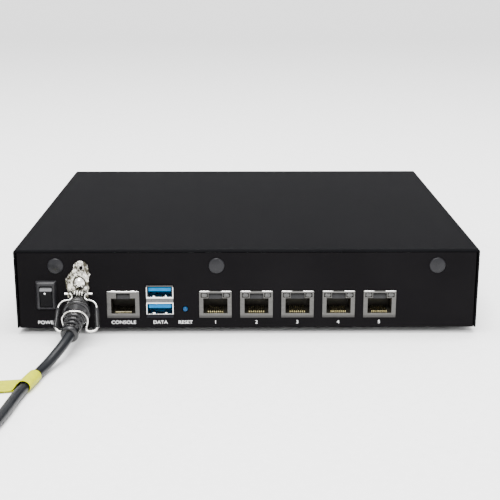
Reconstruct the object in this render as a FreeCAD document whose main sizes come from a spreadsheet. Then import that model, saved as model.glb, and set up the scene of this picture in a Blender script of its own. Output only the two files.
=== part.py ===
import FreeCAD, Part
import math
import os
import re
import Sketcher
from FreeCAD import Placement, Rotation, Vector

# A desktop firewall appliance: a folded steel case on rubber feet, with its rear port panel
# facing -Y.  +Z is up, +X is to the right when looking at the port panel, and the origin is
# on the floor under the middle of the appliance (its lead is not counted).  Millimetres.

doc = FreeCAD.newDocument("FirewallAppliance")

# ---------------------------------------------------------------------------- dimensions
DIMENSIONS = {
    # case
    "case_width": 231.0, "case_depth": 200.0, "case_height": 44.0, "sheet_gauge": 1.0,
    "foot_height": 3.0, "foot_radius": 6.0, "foot_inset": 19.0, "bail_reach": 17.3,
    "panel_gap": 0.8, "panel_top": 42.4, "panel_bottom": 3.6, "cover_bottom": 3.3,
    "flange_height": 14.0, "flange_depth": 9.0, "bend_radius": 1.6, "lip_drop": 0.3,
    "slit_top": 39.7, "slit_height": 0.4, "slit_length": 1.6,
    "side_screw_height": 9.5, "side_screw_radius": 1.4,
    "vent_length": 16.0, "vent_width": 2.2, "vent_pitch": 5.0,
    # antenna hole plugs
    "blank_radius": 4.0, "blank_height": 35.8, "blank_dome": 0.8,
    "blank_left": -94.8, "blank_middle": -15.1, "blank_right": 94.5, "blank_stem": 3.1,
    # circuit board
    "board_top": 8.6, "board_thickness": 1.6, "board_half_width": 107.0, "board_depth": 172.0,
    "standoff_radius": 2.6, "screw_radius": 1.45,
    # network jacks
    "jack_first": -15.8, "jack_pitch": 20.55, "jack_width": 16.3, "jack_height": 14.0,
    "jack_bottom": 8.7, "jack_depth": 15.6, "jack_proud": 0.5, "shield_gauge": 0.3,
    "mouth_width": 12.0, "mouth_bottom": 11.0, "mouth_top": 18.9, "mouth_depth": 12.4,
    "latch_width": 6.8, "latch_top": 21.5, "lens_width": 3.4, "lens_height": 2.2,
    "lens_bottom": 19.35, "lens_offset": 5.55, "contact_pitch": 1.02, "contact_width": 0.46,
    "contact_height": 0.9, "console_centre": -61.9,
    # USB stack
    "usb_centre": -43.55, "usb_width": 13.6, "usb_bottom": 8.7, "usb_top": 25.7,
    "usb_depth": 17.2, "usb_proud": 0.7, "port_width": 12.5, "lower_port_bottom": 10.9,
    "upper_port_bottom": 19.7, "port_height": 5.3, "tongue_width": 11.2, "tongue_height": 2.0,
    "tongue_drop": 0.5,
    # reset button
    "reset_centre": -30.9, "reset_height": 13.2, "reset_radius": 1.2, "reset_proud": 0.5,
    "reset_travel": 0.6,
    # rocker switch
    "rocker_centre": -100.2, "rocker_height": 20.2, "bezel_width": 10.4, "bezel_bottom": 13.3,
    "bezel_top": 28.3, "bezel_proud": 2.0, "rocker_width": 6.0, "rocker_half": 4.9,
    "rocker_face": 2.6, "rocker_dish": 0.7, "rocker_back": 2.4, "rocker_lean": 10.0,
    "rocker_gap": 0.15, "pivot_radius": 0.9, "switch_depth": 15.0, "well_half": 5.55,
    # DC jack and plug
    "inlet_centre": -83.8, "inlet_height": 16.2, "inlet_width": 9.6, "inlet_depth": 14.4,
    "inlet_bore": 3.0, "inlet_pin": 1.0, "inlet_hole": 5.6, "barrel_radius": 2.75,
    "barrel_length": 9.5, "plug_droop": 12.0,
    # retainer
    "retainer_centre": -83.2, "pivot_out": 5.0, "pivot_height": 23.0, "wire_radius": 0.52,
    "plate_gauge": 0.8, "retainer_screw_height": 27.3,
    # lead
    "cord_radius": 2.4, "coil_centre_across": -139.5, "coil_centre_out": 121.0,
    "coil_inner": 16.6, "coil_outer": 36.2, "coil_height": 9.8,
    "adapter_centre": -169.0, "adapter_width": 46.0, "adapter_length": 100.0,
    "adapter_height": 30.0, "adapter_front": -62.0, "relief_length": 18.0,
}

sheet = doc.addObject("Spreadsheet::Sheet", "Dimensions")
for row, (alias, number) in enumerate(DIMENSIONS.items(), start=1):
    sheet.set(f"A{row}", alias)
    sheet.set(f"B{row}", str(number))
    sheet.setAlias(f"B{row}", alias)

# Two formulas that many parts share: the port panel's outer face and the far face of the case.
REAR = "((bail_reach - case_depth) / 2)"
FRONT = f"({REAR} + case_depth)"
SIDE = "(case_width / 2)"
BOARD = "(board_top - board_thickness)"
FLOOR = "(foot_height + sheet_gauge)"
WORD = re.compile("[a-z_]+[a-z0-9_]*")


def size(alias):
    """The number in the sheet's cell of that name."""
    return float(sheet.get(alias))


def rear_face():
    """The port panel's outer face along Y, as a number."""
    return (size("bail_reach") - size("case_depth")) / 2


def in_sheet(formula):
    """The formula with each known word turned into a reference to its cell."""
    def cell(match):
        word = match.group(0)
        return f"Dimensions.{word}" if word in DIMENSIONS else word
    return WORD.sub(cell, str(formula))


def bind(item, prop, formula):
    item.setExpression(prop, in_sheet(formula))


def put_at(item, place):
    for axis, formula in zip("xyz", place):
        bind(item, f".Placement.Base.{axis}", formula)


# ------------------------------------------------------------------------ small builders
TURN_TO = {
    "x": Rotation(Vector(0, 1, 0), 90),
    "y": Rotation(Vector(1, 0, 0), -90),
    "z": Rotation(),
}


def block(name, low, high):
    """A box from its low corner to its high corner, both given as formulas."""
    box = doc.addObject("Part::Box", name)
    for prop, start, end in zip(("Length", "Width", "Height"), low, high):
        bind(box, prop, f"({end}) - ({start})")
    put_at(box, low)
    return box


def rod(name, axis, foot, radius, length):
    """A round bar from the point foot along +axis."""
    bar = doc.addObject("Part::Cylinder", name)
    bar.Placement = Placement(Vector(), TURN_TO[axis])
    bind(bar, "Radius", radius)
    bind(bar, "Height", length)
    put_at(bar, foot)
    return bar


def taper(name, axis, foot, radius, far_radius, length):
    """A cone frustum from the point foot along +axis."""
    cone = doc.addObject("Part::Cone", name)
    cone.Placement = Placement(Vector(), TURN_TO[axis])
    bind(cone, "Radius1", radius)
    bind(cone, "Radius2", far_radius)
    bind(cone, "Height", length)
    put_at(cone, foot)
    return cone


def fuse(name, pieces):
    whole = doc.addObject("Part::MultiFuse", name)
    whole.Shapes = pieces
    return whole


def cut(name, base, tools):
    result = doc.addObject("Part::Cut", name)
    result.Base = base
    result.Tool = tools[0] if len(tools) == 1 else fuse(f"{name}_tools", tools)
    return result


def group(name, pieces):
    """Separate solids that share one node."""
    together = doc.addObject("Part::Compound", name)
    together.Links = pieces
    return together


def shaped(name, shape):
    """A free-form piece whose shape is worked out with Part's own functions."""
    item = doc.addObject("Part::Feature", name)
    item.Shape = shape
    item.Placement = shape.Placement
    return item


def new_body(name, setback="0"):
    """A PartDesign body; setback moves its planes along Y from the port panel's face."""
    body = doc.addObject("PartDesign::Body", name)
    bind(body, ".Placement.Base.y", f"{REAR} + {setback}")
    return body


def rectangle(left, bottom, right, top):
    return [(left, bottom), (right, bottom), (right, top), (left, top)]


def draw(body, name, role, outlines):
    """A sketch of closed outlines on an origin plane of the body.

    An outline is a list of corners, or a tuple (across, up, radius) for a circle, all given
    as formulas that become the sketch's own constraints.
    """
    plane = next(item for item in body.Origin.OriginFeatures if item.Role == role)
    sketch = body.newObject("Sketcher::SketchObject", name)
    sketch.AttachmentSupport = (plane, [""])
    sketch.MapMode = "FlatFace"

    def locate(geometry, point, place):
        for kind, formula in zip(("DistanceX", "DistanceY"), place):
            number = sketch.addConstraint(Sketcher.Constraint(kind, -1, 1, geometry, point, 1.0))
            bind(sketch, f"Constraints[{number}]", formula)

    for outline in outlines:
        first = len(sketch.Geometry)
        if isinstance(outline, tuple):
            sketch.addGeometry(Part.Circle(Vector(1, 1, 0), Vector(0, 0, 1), 1.0), False)
            locate(first, 3, outline[:2])
            number = sketch.addConstraint(Sketcher.Constraint("Radius", first, 1.0))
            bind(sketch, f"Constraints[{number}]", outline[2])
            continue
        count = len(outline)
        ring = [Vector(math.cos(step * math.tau / count), math.sin(step * math.tau / count), 0)
                for step in range(count)]
        for step in range(count):
            sketch.addGeometry(Part.LineSegment(ring[step], ring[(step + 1) % count]), False)
        for step in range(count):
            follow = first + (step + 1) % count
            sketch.addConstraint(Sketcher.Constraint("Coincident", first + step, 2, follow, 1))
        for step, place in enumerate(outline):
            locate(first + step, 1, place)
    return sketch


def pad(body, sketch, length, away=True):
    """Pad a sketch; on the XZ plane away=True goes towards +Y, into the case."""
    feature = body.newObject("PartDesign::Pad", f"{sketch.Name}_pad")
    feature.Profile = sketch
    bind(feature, "Length", length)
    feature.Reversed = away
    body.Tip = feature
    return feature


def pocket(body, sketch, length, away=True):
    """Pocket a sketch; on the XZ plane a pocket goes towards +Y unless it is turned round."""
    feature = body.newObject("PartDesign::Pocket", f"{sketch.Name}_pocket")
    feature.Profile = sketch
    bind(feature, "Length", length)
    feature.Reversed = not away
    body.Tip = feature
    return feature


def pierce(body, sketch):
    """Pocket a sketch both ways, right through the body."""
    feature = body.newObject("PartDesign::Pocket", f"{sketch.Name}_pocket")
    feature.Profile = sketch
    feature.Type = "ThroughAll"
    feature.Midplane = True
    body.Tip = feature
    return feature


def rounded(body, base, radius, chosen):
    """A PartDesign fillet of the edges whose middle point passes the test chosen."""
    doc.recompute()
    names = [f"Edge{number}" for number, edge in enumerate(base.Shape.Edges, start=1)
             if chosen(edge)]
    feature = body.newObject("PartDesign::Fillet", f"{base.Name}_round")
    feature.Base = (base, names)
    bind(feature, "Radius", radius)
    body.Tip = feature
    return feature


NODES = []


def node(item, label):
    """Name a finished sub-part; its file takes this name."""
    item.Label = label
    NODES.append(item)
    return item


def smooth_path(points, share=0.45):
    """Straight runs through the points, joined by tangent arcs as large as the runs allow."""
    corners = [Vector(*point) for point in points]
    edges = []
    radii = []
    start = corners[0]
    for before, corner, after in zip(corners, corners[1:], corners[2:]):
        inward = (before - corner).normalize()
        outward = (after - corner).normalize()
        half_turn = (math.pi - inward.getAngle(outward)) / 2
        reach = share * min(before.distanceToPoint(corner), after.distanceToPoint(corner))
        radius = reach / math.tan(half_turn)
        begin = corner + inward * reach
        end = corner + outward * reach
        bisector = (inward + outward).normalize()
        middle = corner + bisector * (radius / math.cos(half_turn) - radius)
        edges.append(Part.LineSegment(start, begin).toShape())
        edges.append(Part.Arc(begin, middle, end).toShape())
        radii.append(round(radius, 1))
        start = end
    edges.append(Part.LineSegment(start, corners[-1]).toShape())
    return Part.Wire(edges), radii


def tube(points, radius, share=0.45):
    """A round tube along the smooth path of the points; returns the solid and its radii."""
    path, radii = smooth_path(points, share)
    start = Vector(*points[0])
    direction = Vector(*points[1]) - start
    section = Part.Wire([Part.makeCircle(radius, start, direction)])
    solid = path.makePipeShell([section], True, False)
    expected = math.pi * radius ** 2 * path.Length
    if abs(solid.Volume - expected) > 0.02 * expected:
        raise RuntimeError(f"tube volume {solid.Volume:.1f} is not {expected:.1f}")
    return solid, radii, path.Length


# --------------------------------------------------------------------------------- case
# The cover's side screws, as distances from the port panel.
SCREW_PLACES = ("25", "case_depth / 2", "case_depth - 25")


def make_chassis():
    """Bottom plate with two folded side flanges and vent slots."""
    body = new_body("Chassis", "sheet_gauge + 0.2")
    inner = f"({SIDE} - sheet_gauge - 0.2)"
    profile = [
        (f"-{inner}", "foot_height"), (inner, "foot_height"), (inner, "flange_height"),
        (f"{inner} - sheet_gauge", "flange_height"), (f"{inner} - sheet_gauge", FLOOR),
        (f"-{inner} + sheet_gauge", FLOOR), (f"-{inner} + sheet_gauge", "flange_height"),
        (f"-{inner}", "flange_height")]
    pad(body, draw(body, "ChassisProfile", "XZ_Plane", [profile]),
        "case_depth - 2 * sheet_gauge - 0.4")
    taps = [(f"{along} - sheet_gauge - 0.2", "side_screw_height", "side_screw_radius + 0.05")
            for along in SCREW_PLACES]
    pierce(body, draw(body, "ChassisTaps", "YZ_Plane", taps))
    slots = []
    for side in (-1, 1):
        for step in range(9):
            across = f"({side} * 58 + {step - 4} * vent_pitch)"
            slots.append(rectangle(f"{across} - vent_width / 2", "120",
                                   f"{across} + vent_width / 2", "120 + vent_length"))
    pocket(body, draw(body, "ChassisVents", "XY_Plane", slots), "foot_height + 3 * sheet_gauge",
           away=False)
    return node(body, "base_chassis")


def jack_centres():
    """The middles of the five network jacks, as formulas."""
    return [f"(jack_first + {number} * jack_pitch)" for number in range(5)]


def make_port_panel():
    """Rear panel with the openings of every connector, and a foot flange on the chassis."""
    body = new_body("PortPanel")
    half = f"({SIDE} - sheet_gauge - panel_gap)"
    holes = [rectangle(f"-{half}", "panel_bottom", half, "panel_top")]
    for centre in jack_centres() + ["console_centre"]:
        holes.append(rectangle(f"{centre} - jack_width / 2 - 0.1", "jack_bottom - 0.1",
                               f"{centre} + jack_width / 2 + 0.1",
                               "jack_bottom + jack_height + 0.1"))
    holes.append(rectangle("usb_centre - usb_width / 2 - 0.1", "usb_bottom - 0.1",
                           "usb_centre + usb_width / 2 + 0.1", "usb_top + 0.1"))
    holes.append(rectangle("rocker_centre - bezel_width / 2 + 0.6", "bezel_bottom + 0.8",
                           "rocker_centre + bezel_width / 2 - 0.6", "bezel_top - 0.8"))
    holes.append(("inlet_centre", "inlet_height", "inlet_hole"))
    holes.append(("reset_centre", "reset_height", "reset_radius + 0.3"))
    holes.append(("retainer_centre", "retainer_screw_height", "screw_radius + 0.1"))
    for blank in ("blank_left", "blank_middle", "blank_right"):
        holes.append((blank, "blank_height", "blank_stem + 0.05"))
    pad(body, draw(body, "PanelFace", "XZ_Plane", holes), "sheet_gauge")
    inner = f"({half} - sheet_gauge - 0.6)"
    foot = rectangle(f"-{inner}", FLOOR, inner, f"{FLOOR} + sheet_gauge")
    pad(body, draw(body, "PanelFoot", "XZ_Plane", [foot]), "flange_depth")
    return node(body, "port_panel")


def make_cover():
    """Top cover: a folded inverted U with a short lip over the port panel."""
    body = new_body("Cover")
    inner = f"({SIDE} - sheet_gauge)"
    roof = "(case_height - sheet_gauge)"
    profile = [
        (f"-{SIDE}", "cover_bottom"), (f"-{inner}", "cover_bottom"), (f"-{inner}", roof),
        (inner, roof), (inner, "cover_bottom"), (SIDE, "cover_bottom"),
        (SIDE, "case_height"), (f"-{SIDE}", "case_height")]
    shell = pad(body, draw(body, "CoverProfile", "XZ_Plane", [profile]), "case_depth")

    def is_bend(edge):
        box = edge.BoundBox
        outer = abs(abs(box.Center.x) - size("case_width") / 2) < 0.01
        return outer and box.YLength > 100 and box.ZMin > size("case_height") - 0.1

    rounded(body, shell, "bend_radius", is_bend)
    lip = rectangle(f"-{inner} - 0.2", f"{roof} - lip_drop", f"{inner} + 0.2", f"{roof} + 0.2")
    lip_pad = pad(body, draw(body, "CoverLip", "XZ_Plane", [lip]), "sheet_gauge")

    def is_rear_edge(edge):
        box = edge.BoundBox
        return box.XLength > 100 and box.ZMin > size("case_height") - 0.01 and box.YMax < 0.01

    rounded(body, lip_pad, "0.7", is_rear_edge)
    slits = []
    for side in (-1, 1):
        ends = sorted((side * 110, side * 120))
        slits.append(rectangle(ends[0], "slit_top - slit_height", ends[1], "slit_top"))
    pocket(body, draw(body, "CoverSlits", "XZ_Plane", slits), "slit_length")
    vents = []
    for step in range(14):
        along = f"(70 + {step} * vent_pitch)"
        vents.append(rectangle(along, "20", f"{along} + vent_width", "20 + vent_length"))
    vent_cut = draw(body, "CoverVents", "YZ_Plane", vents)
    pierce(body, vent_cut)
    sinks = []
    for side in (-1, 1):
        for number, along in enumerate(SCREW_PLACES):
            sinks.append(side_screw(f"CoverSink{side + 1}{number}", side, along, 0.05))
    return node(cut("CoverDrilled", body, sinks), "top_cover")


def side_screw(name, side, along, play):
    """A countersunk screw in the cover's side; play widens it into the hole that takes it."""
    outer = f"{side} * {SIDE}"
    foot = (outer, f"{REAR} + {along}", "side_screw_height")
    head = taper(f"{name}_head", "x", foot, f"2.6 + {play}", f"1.5 + {play}", "sheet_gauge")
    shank = rod(f"{name}_shank", "x", foot, f"side_screw_radius + {play}", "4.5")
    screw = fuse(name, [head, shank])
    if side > 0:
        for item in (head, shank):
            item.Placement = Placement(Vector(), Rotation(Vector(0, 1, 0), -90))
            put_at(item, foot)
    return screw


def make_cover_screws():
    screws = []
    for side in (-1, 1):
        for number, along in enumerate(SCREW_PLACES):
            screws.append(side_screw(f"CoverScrew{side + 1}{number}", side, along, 0))
    return node(group("CoverScrews", screws), "cover_screws")


def make_front_panel():
    """Front panel with a row of indicator holes."""
    body = new_body("FrontPanel", "case_depth - sheet_gauge")
    half = f"({SIDE} - sheet_gauge - panel_gap)"
    holes = [rectangle(f"-{half}", "panel_bottom", half, "panel_top")]
    for number in range(8):
        holes.append((f"{light_place(number)}", "30", "1.6"))
    for step in range(20):
        across = f"(-92 + {step} * 4)"
        holes.append(rectangle(across, "12", f"{across} + 1.6", "34"))
    pad(body, draw(body, "FrontFace", "XZ_Plane", holes), "sheet_gauge")
    return node(body, "front_panel")


def light_place(number):
    return f"(30 + {number} * 9)"


def corner_places(across, rear, far):
    """Four corner places as (x, y) formulas."""
    return [(f"{side} * ({across})", f"{REAR} + {along}") for side in (-1, 1)
            for along in (rear, far)]


def make_feet():
    feet = []
    places = corner_places(f"{SIDE} - foot_inset", "foot_inset", "case_depth - foot_inset")
    for number, (across, along) in enumerate(places):
        low = taper(f"Foot{number}_low", "z", (across, along, "0"), "foot_radius - 0.6",
                    "foot_radius", "0.8")
        high = rod(f"Foot{number}_high", "z", (across, along, "0.8"), "foot_radius",
                   "foot_height - 0.8")
        feet.append(fuse(f"Foot{number}", [low, high]))
    return node(group("Feet", feet), "rubber_feet")


def make_blanks():
    """Domed plugs in the three spare antenna holes, held by a stem with a snap ring."""
    blanks = []
    for number, across in enumerate(("blank_left", "blank_middle", "blank_right")):
        place = (across, f"{REAR} - blank_dome", "blank_height")
        dome = taper(f"Blank{number}_dome", "y", place, "blank_radius - 0.9", "blank_radius",
                     "blank_dome / 2")
        rim = rod(f"Blank{number}_rim", "y", (across, f"{REAR} - blank_dome / 2", "blank_height"),
                  "blank_radius", "blank_dome / 2")
        stem = rod(f"Blank{number}_stem", "y", (across, f"{REAR} - 0.1", "blank_height"),
                   "blank_stem", "4")
        blanks.append(fuse(f"Blank{number}", [dome, rim, stem]))
    return node(group("Blanks", blanks), "antenna_hole_plugs")


make_chassis()
make_port_panel()
make_cover()
make_cover_screws()
make_front_panel()
make_feet()
make_blanks()


# ------------------------------------------------------------------------- network jacks
def mouth(name, centre, start, end, spare):
    """The space of a jack's mouth and latch notch; spare widens it all round."""
    main = block(f"{name}_main",
                 (f"{centre} - mouth_width / 2 - {spare}", start, f"mouth_bottom - {spare}"),
                 (f"{centre} + mouth_width / 2 + {spare}", end, f"mouth_top + {spare}"))
    notch = block(f"{name}_notch",
                  (f"{centre} - latch_width / 2 - {spare}", start, "mouth_top - 0.5"),
                  (f"{centre} + latch_width / 2 + {spare}", end, f"latch_top + {spare}"))
    return [main, notch]


def lens_box(name, centre, side, start, end, spare):
    middle = f"{centre} + {side} * lens_offset"
    return block(name,
                 (f"{middle} - lens_width / 2 - {spare}", start, f"lens_bottom - {spare}"),
                 (f"{middle} + lens_width / 2 + {spare}", end,
                  f"lens_bottom + lens_height + {spare}"))


def make_shield(name, centre, label, with_lenses):
    """Folded metal shield round a jack, with its front frame and two top spring tabs."""
    front = f"{REAR} - jack_proud"
    back = f"{REAR} + jack_depth"
    outer = block(f"{name}_outer", (f"{centre} - jack_width / 2", front, "jack_bottom"),
                  (f"{centre} + jack_width / 2", back, "jack_bottom + jack_height"))
    hollow = block(f"{name}_hollow",
                   (f"{centre} - jack_width / 2 + shield_gauge", f"{front} + shield_gauge",
                    "jack_bottom + shield_gauge"),
                   (f"{centre} + jack_width / 2 - shield_gauge", f"{back} + 1",
                    "jack_bottom + jack_height - shield_gauge"))
    tools = [hollow] + mouth(f"{name}_mouth", centre, f"{front} - 1", f"{front} + 1", "0")
    if with_lenses:
        for side in (-1, 1):
            tools.append(lens_box(f"{name}_window{side + 1}", centre, side, f"{front} - 1",
                                  f"{front} + 1", "0.02"))
    return node(cut(name, outer, tools), label)


def insert_block(name, centre, with_lenses):
    """Black plastic insert that fills the shield and forms the mouth's walls."""
    front = f"{REAR} - jack_proud + shield_gauge"
    gap = "(shield_gauge + 0.02)"
    solid = block(f"{name}_solid",
                  (f"{centre} - jack_width / 2 + {gap}", front, f"jack_bottom + {gap}"),
                  (f"{centre} + jack_width / 2 - {gap}", f"{REAR} + jack_depth - 0.2",
                   f"jack_bottom + jack_height - {gap}"))
    tools = mouth(f"{name}_mouth", centre, f"{front} - 1", f"{REAR} + mouth_depth", "0.15")
    if with_lenses:
        for side in (-1, 1):
            tools.append(lens_box(f"{name}_seat{side + 1}", centre, side, f"{front} - 1",
                                  f"{REAR} + 3.2", "0.02"))
    return cut(name, solid, tools)


def contact_row(name, centre, start, end):
    """Eight gold spring wires lying along the floor of the mouth."""
    wires = []
    for number in range(8):
        middle = f"{centre} + {number - 3.5} * contact_pitch"
        wires.append(block(f"{name}_{number}",
                           (f"{middle} - contact_width / 2", start, "mouth_bottom - 0.15"),
                           (f"{middle} + contact_width / 2", end,
                            "mouth_bottom - 0.15 + contact_height")))
    return wires


def make_network_jacks():
    inserts = []
    contacts = []
    lenses = []
    for number, centre in enumerate(jack_centres(), start=1):
        make_shield(f"LanShield{number}", centre, f"lan_shield_{number}", True)
        inserts.append(insert_block(f"LanInsert{number}", centre, True))
        contacts += contact_row(f"LanContact{number}", centre, f"{REAR} + 1.0", f"{REAR} + 9.5")
        for side in (-1, 1):
            lenses.append(lens_box(f"LanLens{number}{side + 1}", centre, side,
                                   f"{REAR} - jack_proud - 0.15", f"{REAR} + 3.1", "0"))
    node(group("LanInserts", inserts), "lan_inserts")
    node(group("LanContacts", contacts), "lan_contacts")
    node(group("LanLenses", lenses), "lan_led_lenses")


def make_console_jack():
    centre = "console_centre"
    make_shield("ConsoleShield", centre, "console_shield", False)
    node(insert_block("ConsoleInsert", centre, False), "console_insert")
    wires = contact_row("ConsoleContact", centre, f"{REAR} + 1.6", f"{REAR} + 9.5")
    bar = block("ConsoleBar", (f"{centre} - 4", f"{REAR} + 0.7", "mouth_bottom - 0.15"),
                (f"{centre} + 4", f"{REAR} + 1.55", "mouth_bottom + 0.85"))
    node(group("ConsoleContacts", wires + [bar]), "console_contacts")


def make_usb_stack():
    """Two stacked USB ports in one shell, each with a blue tongue high in the mouth."""
    front = f"{REAR} - usb_proud"
    outer = block("UsbOuter", ("usb_centre - usb_width / 2", front, "usb_bottom"),
                  ("usb_centre + usb_width / 2", f"{REAR} + usb_depth", "usb_top"))
    tools = []
    bumps = []
    tongues = []
    strips = []
    for number, bottom in enumerate(("lower_port_bottom", "upper_port_bottom")):
        tools.append(block(f"UsbPort{number}",
                           ("usb_centre - port_width / 2", f"{front} - 1", bottom),
                           ("usb_centre + port_width / 2", f"{REAR} + usb_depth - 1",
                            f"{bottom} + port_height")))
        for side in (-1, 1):
            bumps.append(block(f"UsbBump{number}{side + 1}",
                               (f"usb_centre + {side} * 3 - 0.6", f"{front} + 0.8",
                                f"{bottom} - 0.1"),
                               (f"usb_centre + {side} * 3 + 0.6", f"{front} + 3.2",
                                f"{bottom} + 0.55")))
        top = f"({bottom} + port_height - tongue_drop)"
        tongue = block(f"UsbTongue{number}",
                       ("usb_centre - tongue_width / 2", f"{front} + 0.9",
                        f"{top} - tongue_height"),
                       ("usb_centre + tongue_width / 2", f"{REAR} + usb_depth - 3", top))
        back = block(f"UsbBack{number}",
                     ("usb_centre - port_width / 2 + 0.02", f"{REAR} + usb_depth - 5",
                      f"{bottom} + 0.02"),
                     ("usb_centre + port_width / 2 - 0.02", f"{REAR} + usb_depth - 1.02",
                      f"{bottom} + port_height - 0.02"))
        tongues.append(fuse(f"UsbTonguePiece{number}", [tongue, back]))
        for step in range(4):
            middle = f"usb_centre + {step - 1.5} * 2.3"
            strips.append(block(f"UsbStrip{number}{step}",
                                (f"{middle} - 0.5", f"{front} + 1.8",
                                 f"{top} - tongue_height - 0.2"),
                                (f"{middle} + 0.5", f"{REAR} + 8",
                                 f"{top} - tongue_height")))
    slot = block("UsbSlot", ("usb_centre - 4.2", f"{front} - 1", "lower_port_bottom + 6.5"),
                 ("usb_centre + 4.2", f"{front} + 0.35", "lower_port_bottom + 7.4"))
    hollowed = cut("UsbHollowed", outer, tools + [slot])
    node(fuse("UsbShell", [hollowed] + bumps), "usb_shell")
    node(group("UsbTongues", tongues), "usb_tongues")
    node(group("UsbContacts", strips), "usb_contacts")


def make_reset_button():
    """Push button on a small tactile switch behind the panel."""
    foot = ("reset_centre", f"{REAR} - reset_proud", "reset_height")
    stem = rod("ResetStem", "y", foot, "reset_radius", "reset_proud + 4.2")
    collar = rod("ResetCollar", "y", ("reset_centre", f"{REAR} + 1.9", "reset_height"), "1.9",
                 "1.0")
    node(fuse("ResetButton", [stem, collar]), "reset_button")
    case = block("ResetCase", ("reset_centre - 3", f"{REAR} + 3.8", "board_top"),
                 ("reset_centre + 3", f"{REAR} + 9", "reset_height + 3"))
    bore = rod("ResetBore", "y", ("reset_centre", f"{REAR} + 3", "reset_height"),
               "reset_radius + 0.15", "3")
    node(cut("ResetCaseBored", case, [bore]), "reset_switch_body")


make_network_jacks()
make_console_jack()
make_usb_stack()
make_reset_button()


# ------------------------------------------------------------------------- rocker switch
def make_rocker_switch():
    front = f"{REAR} - bezel_proud"
    left = "rocker_centre - bezel_width / 2"
    right = "rocker_centre + bezel_width / 2"
    bezel = block("Bezel", (left, front, "bezel_bottom"), (right, REAR, "bezel_top"))
    barrel = block("SwitchBarrel", (f"{left} + 0.7", f"{REAR} - 0.5", "bezel_bottom + 0.9"),
                   (f"{right} - 0.7", f"{REAR} + switch_depth", "bezel_top - 0.9"))
    well = block("RockerWell",
                 ("rocker_centre - rocker_width / 2 - rocker_gap", f"{front} - 1",
                  "rocker_height - well_half"),
                 ("rocker_centre + rocker_width / 2 + rocker_gap", f"{REAR} + 6",
                  "rocker_height + well_half"))
    seats = rod("PivotSeats", "x",
                ("rocker_centre - rocker_width / 2 - 0.95", f"{REAR} + 0.2", "rocker_height"),
                "pivot_radius + 0.05", "rocker_width + 1.9")
    solid = fuse("SwitchSolid", [bezel, barrel])
    node(cut("SwitchHousing", solid, [well, seats]), "switch_housing")
    blades = []
    for number in range(3):
        height = f"(rocker_height - 4.6 + {number} * 4.6)"
        blades.append(block(f"Blade{number}",
                            ("rocker_centre - 2.4", f"{REAR} + switch_depth",
                             f"{height} - 0.4"),
                            ("rocker_centre + 2.4", f"{REAR} + switch_depth + 6",
                             f"{height} + 0.4")))
    node(group("SwitchTerminals", blades), "switch_terminals")

    body = doc.addObject("PartDesign::Body", "Rocker")
    face = [("-rocker_face", "rocker_half"), ("-rocker_face + rocker_dish", "0"),
            ("-rocker_face", "-rocker_half"), ("0", "-rocker_half + 0.1"),
            ("rocker_back", "-rocker_half + 1.6"), ("rocker_back", "rocker_half - 1.6"),
            ("0", "rocker_half - 0.1")]
    feature = pad(body, draw(body, "RockerProfile", "YZ_Plane", [face]), "rocker_width")
    feature.Midplane = True
    rounded(body, feature, "0.35",
            lambda edge: edge.BoundBox.XLength > 5 and edge.BoundBox.YMax < -2)
    pivot = pad(body, draw(body, "RockerPivot", "YZ_Plane", [("0", "0", "pivot_radius")]),
                "rocker_width + 1.6")
    pivot.Midplane = True
    body.Placement = Placement(Vector(), Rotation(Vector(1, 0, 0), size("rocker_lean")))
    put_at(body, ("rocker_centre", f"{REAR} + 0.2", "rocker_height"))
    node(body, "rocker")


make_rocker_switch()


# --------------------------------------------------------------- DC jack, plug and retainer
def make_dc_jack():
    foot = ("inlet_centre", f"{REAR} + 0.2", "inlet_height")
    case = block("InletCase",
                 ("inlet_centre - inlet_width / 2", f"{REAR} + sheet_gauge + 0.05", "board_top"),
                 ("inlet_centre + inlet_width / 2", f"{REAR} + inlet_depth", "inlet_height + 5"))
    nose = rod("InletNose", "y", foot, "inlet_hole - 0.8", "sheet_gauge")
    bore = rod("InletBore", "y", ("inlet_centre", f"{REAR} - 1", "inlet_height"), "inlet_bore",
               "12")
    node(cut("DcJack", fuse("InletSolid", [case, nose]), [bore]), "dc_jack")
    pin = rod("InletPin", "y", ("inlet_centre", f"{REAR} + 3.2", "inlet_height"), "inlet_pin",
              "7.8")
    tabs = [block(f"InletTab{number}",
                  ("inlet_centre - 1.2", f"{REAR} + {along}", f"{BOARD} - 1.4"),
                  ("inlet_centre + 1.2", f"{REAR} + {along} + 0.8", BOARD))
            for number, along in enumerate((6, 12))]
    node(group("DcJackContacts", [pin] + tabs), "dc_jack_contacts")


def lathe(profile):
    """A solid of revolution about +Z from (height, radius) pairs that begin and end on the axis."""
    points = [Vector(radius, 0, height) for height, radius in profile]
    face = Part.Face(Part.makePolygon(points + [points[0]]))
    return face.revolve(Vector(), Vector(0, 0, 1), 360)


def drooping(shape, centre, start):
    """Turn a lathe piece's +Z axis to point out of the panel and a little down."""
    turn = Rotation(Vector(1, 0, 0), 90 + size("plug_droop"))
    return shape.transformed(Placement(Vector(*start), turn).toMatrix())


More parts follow.
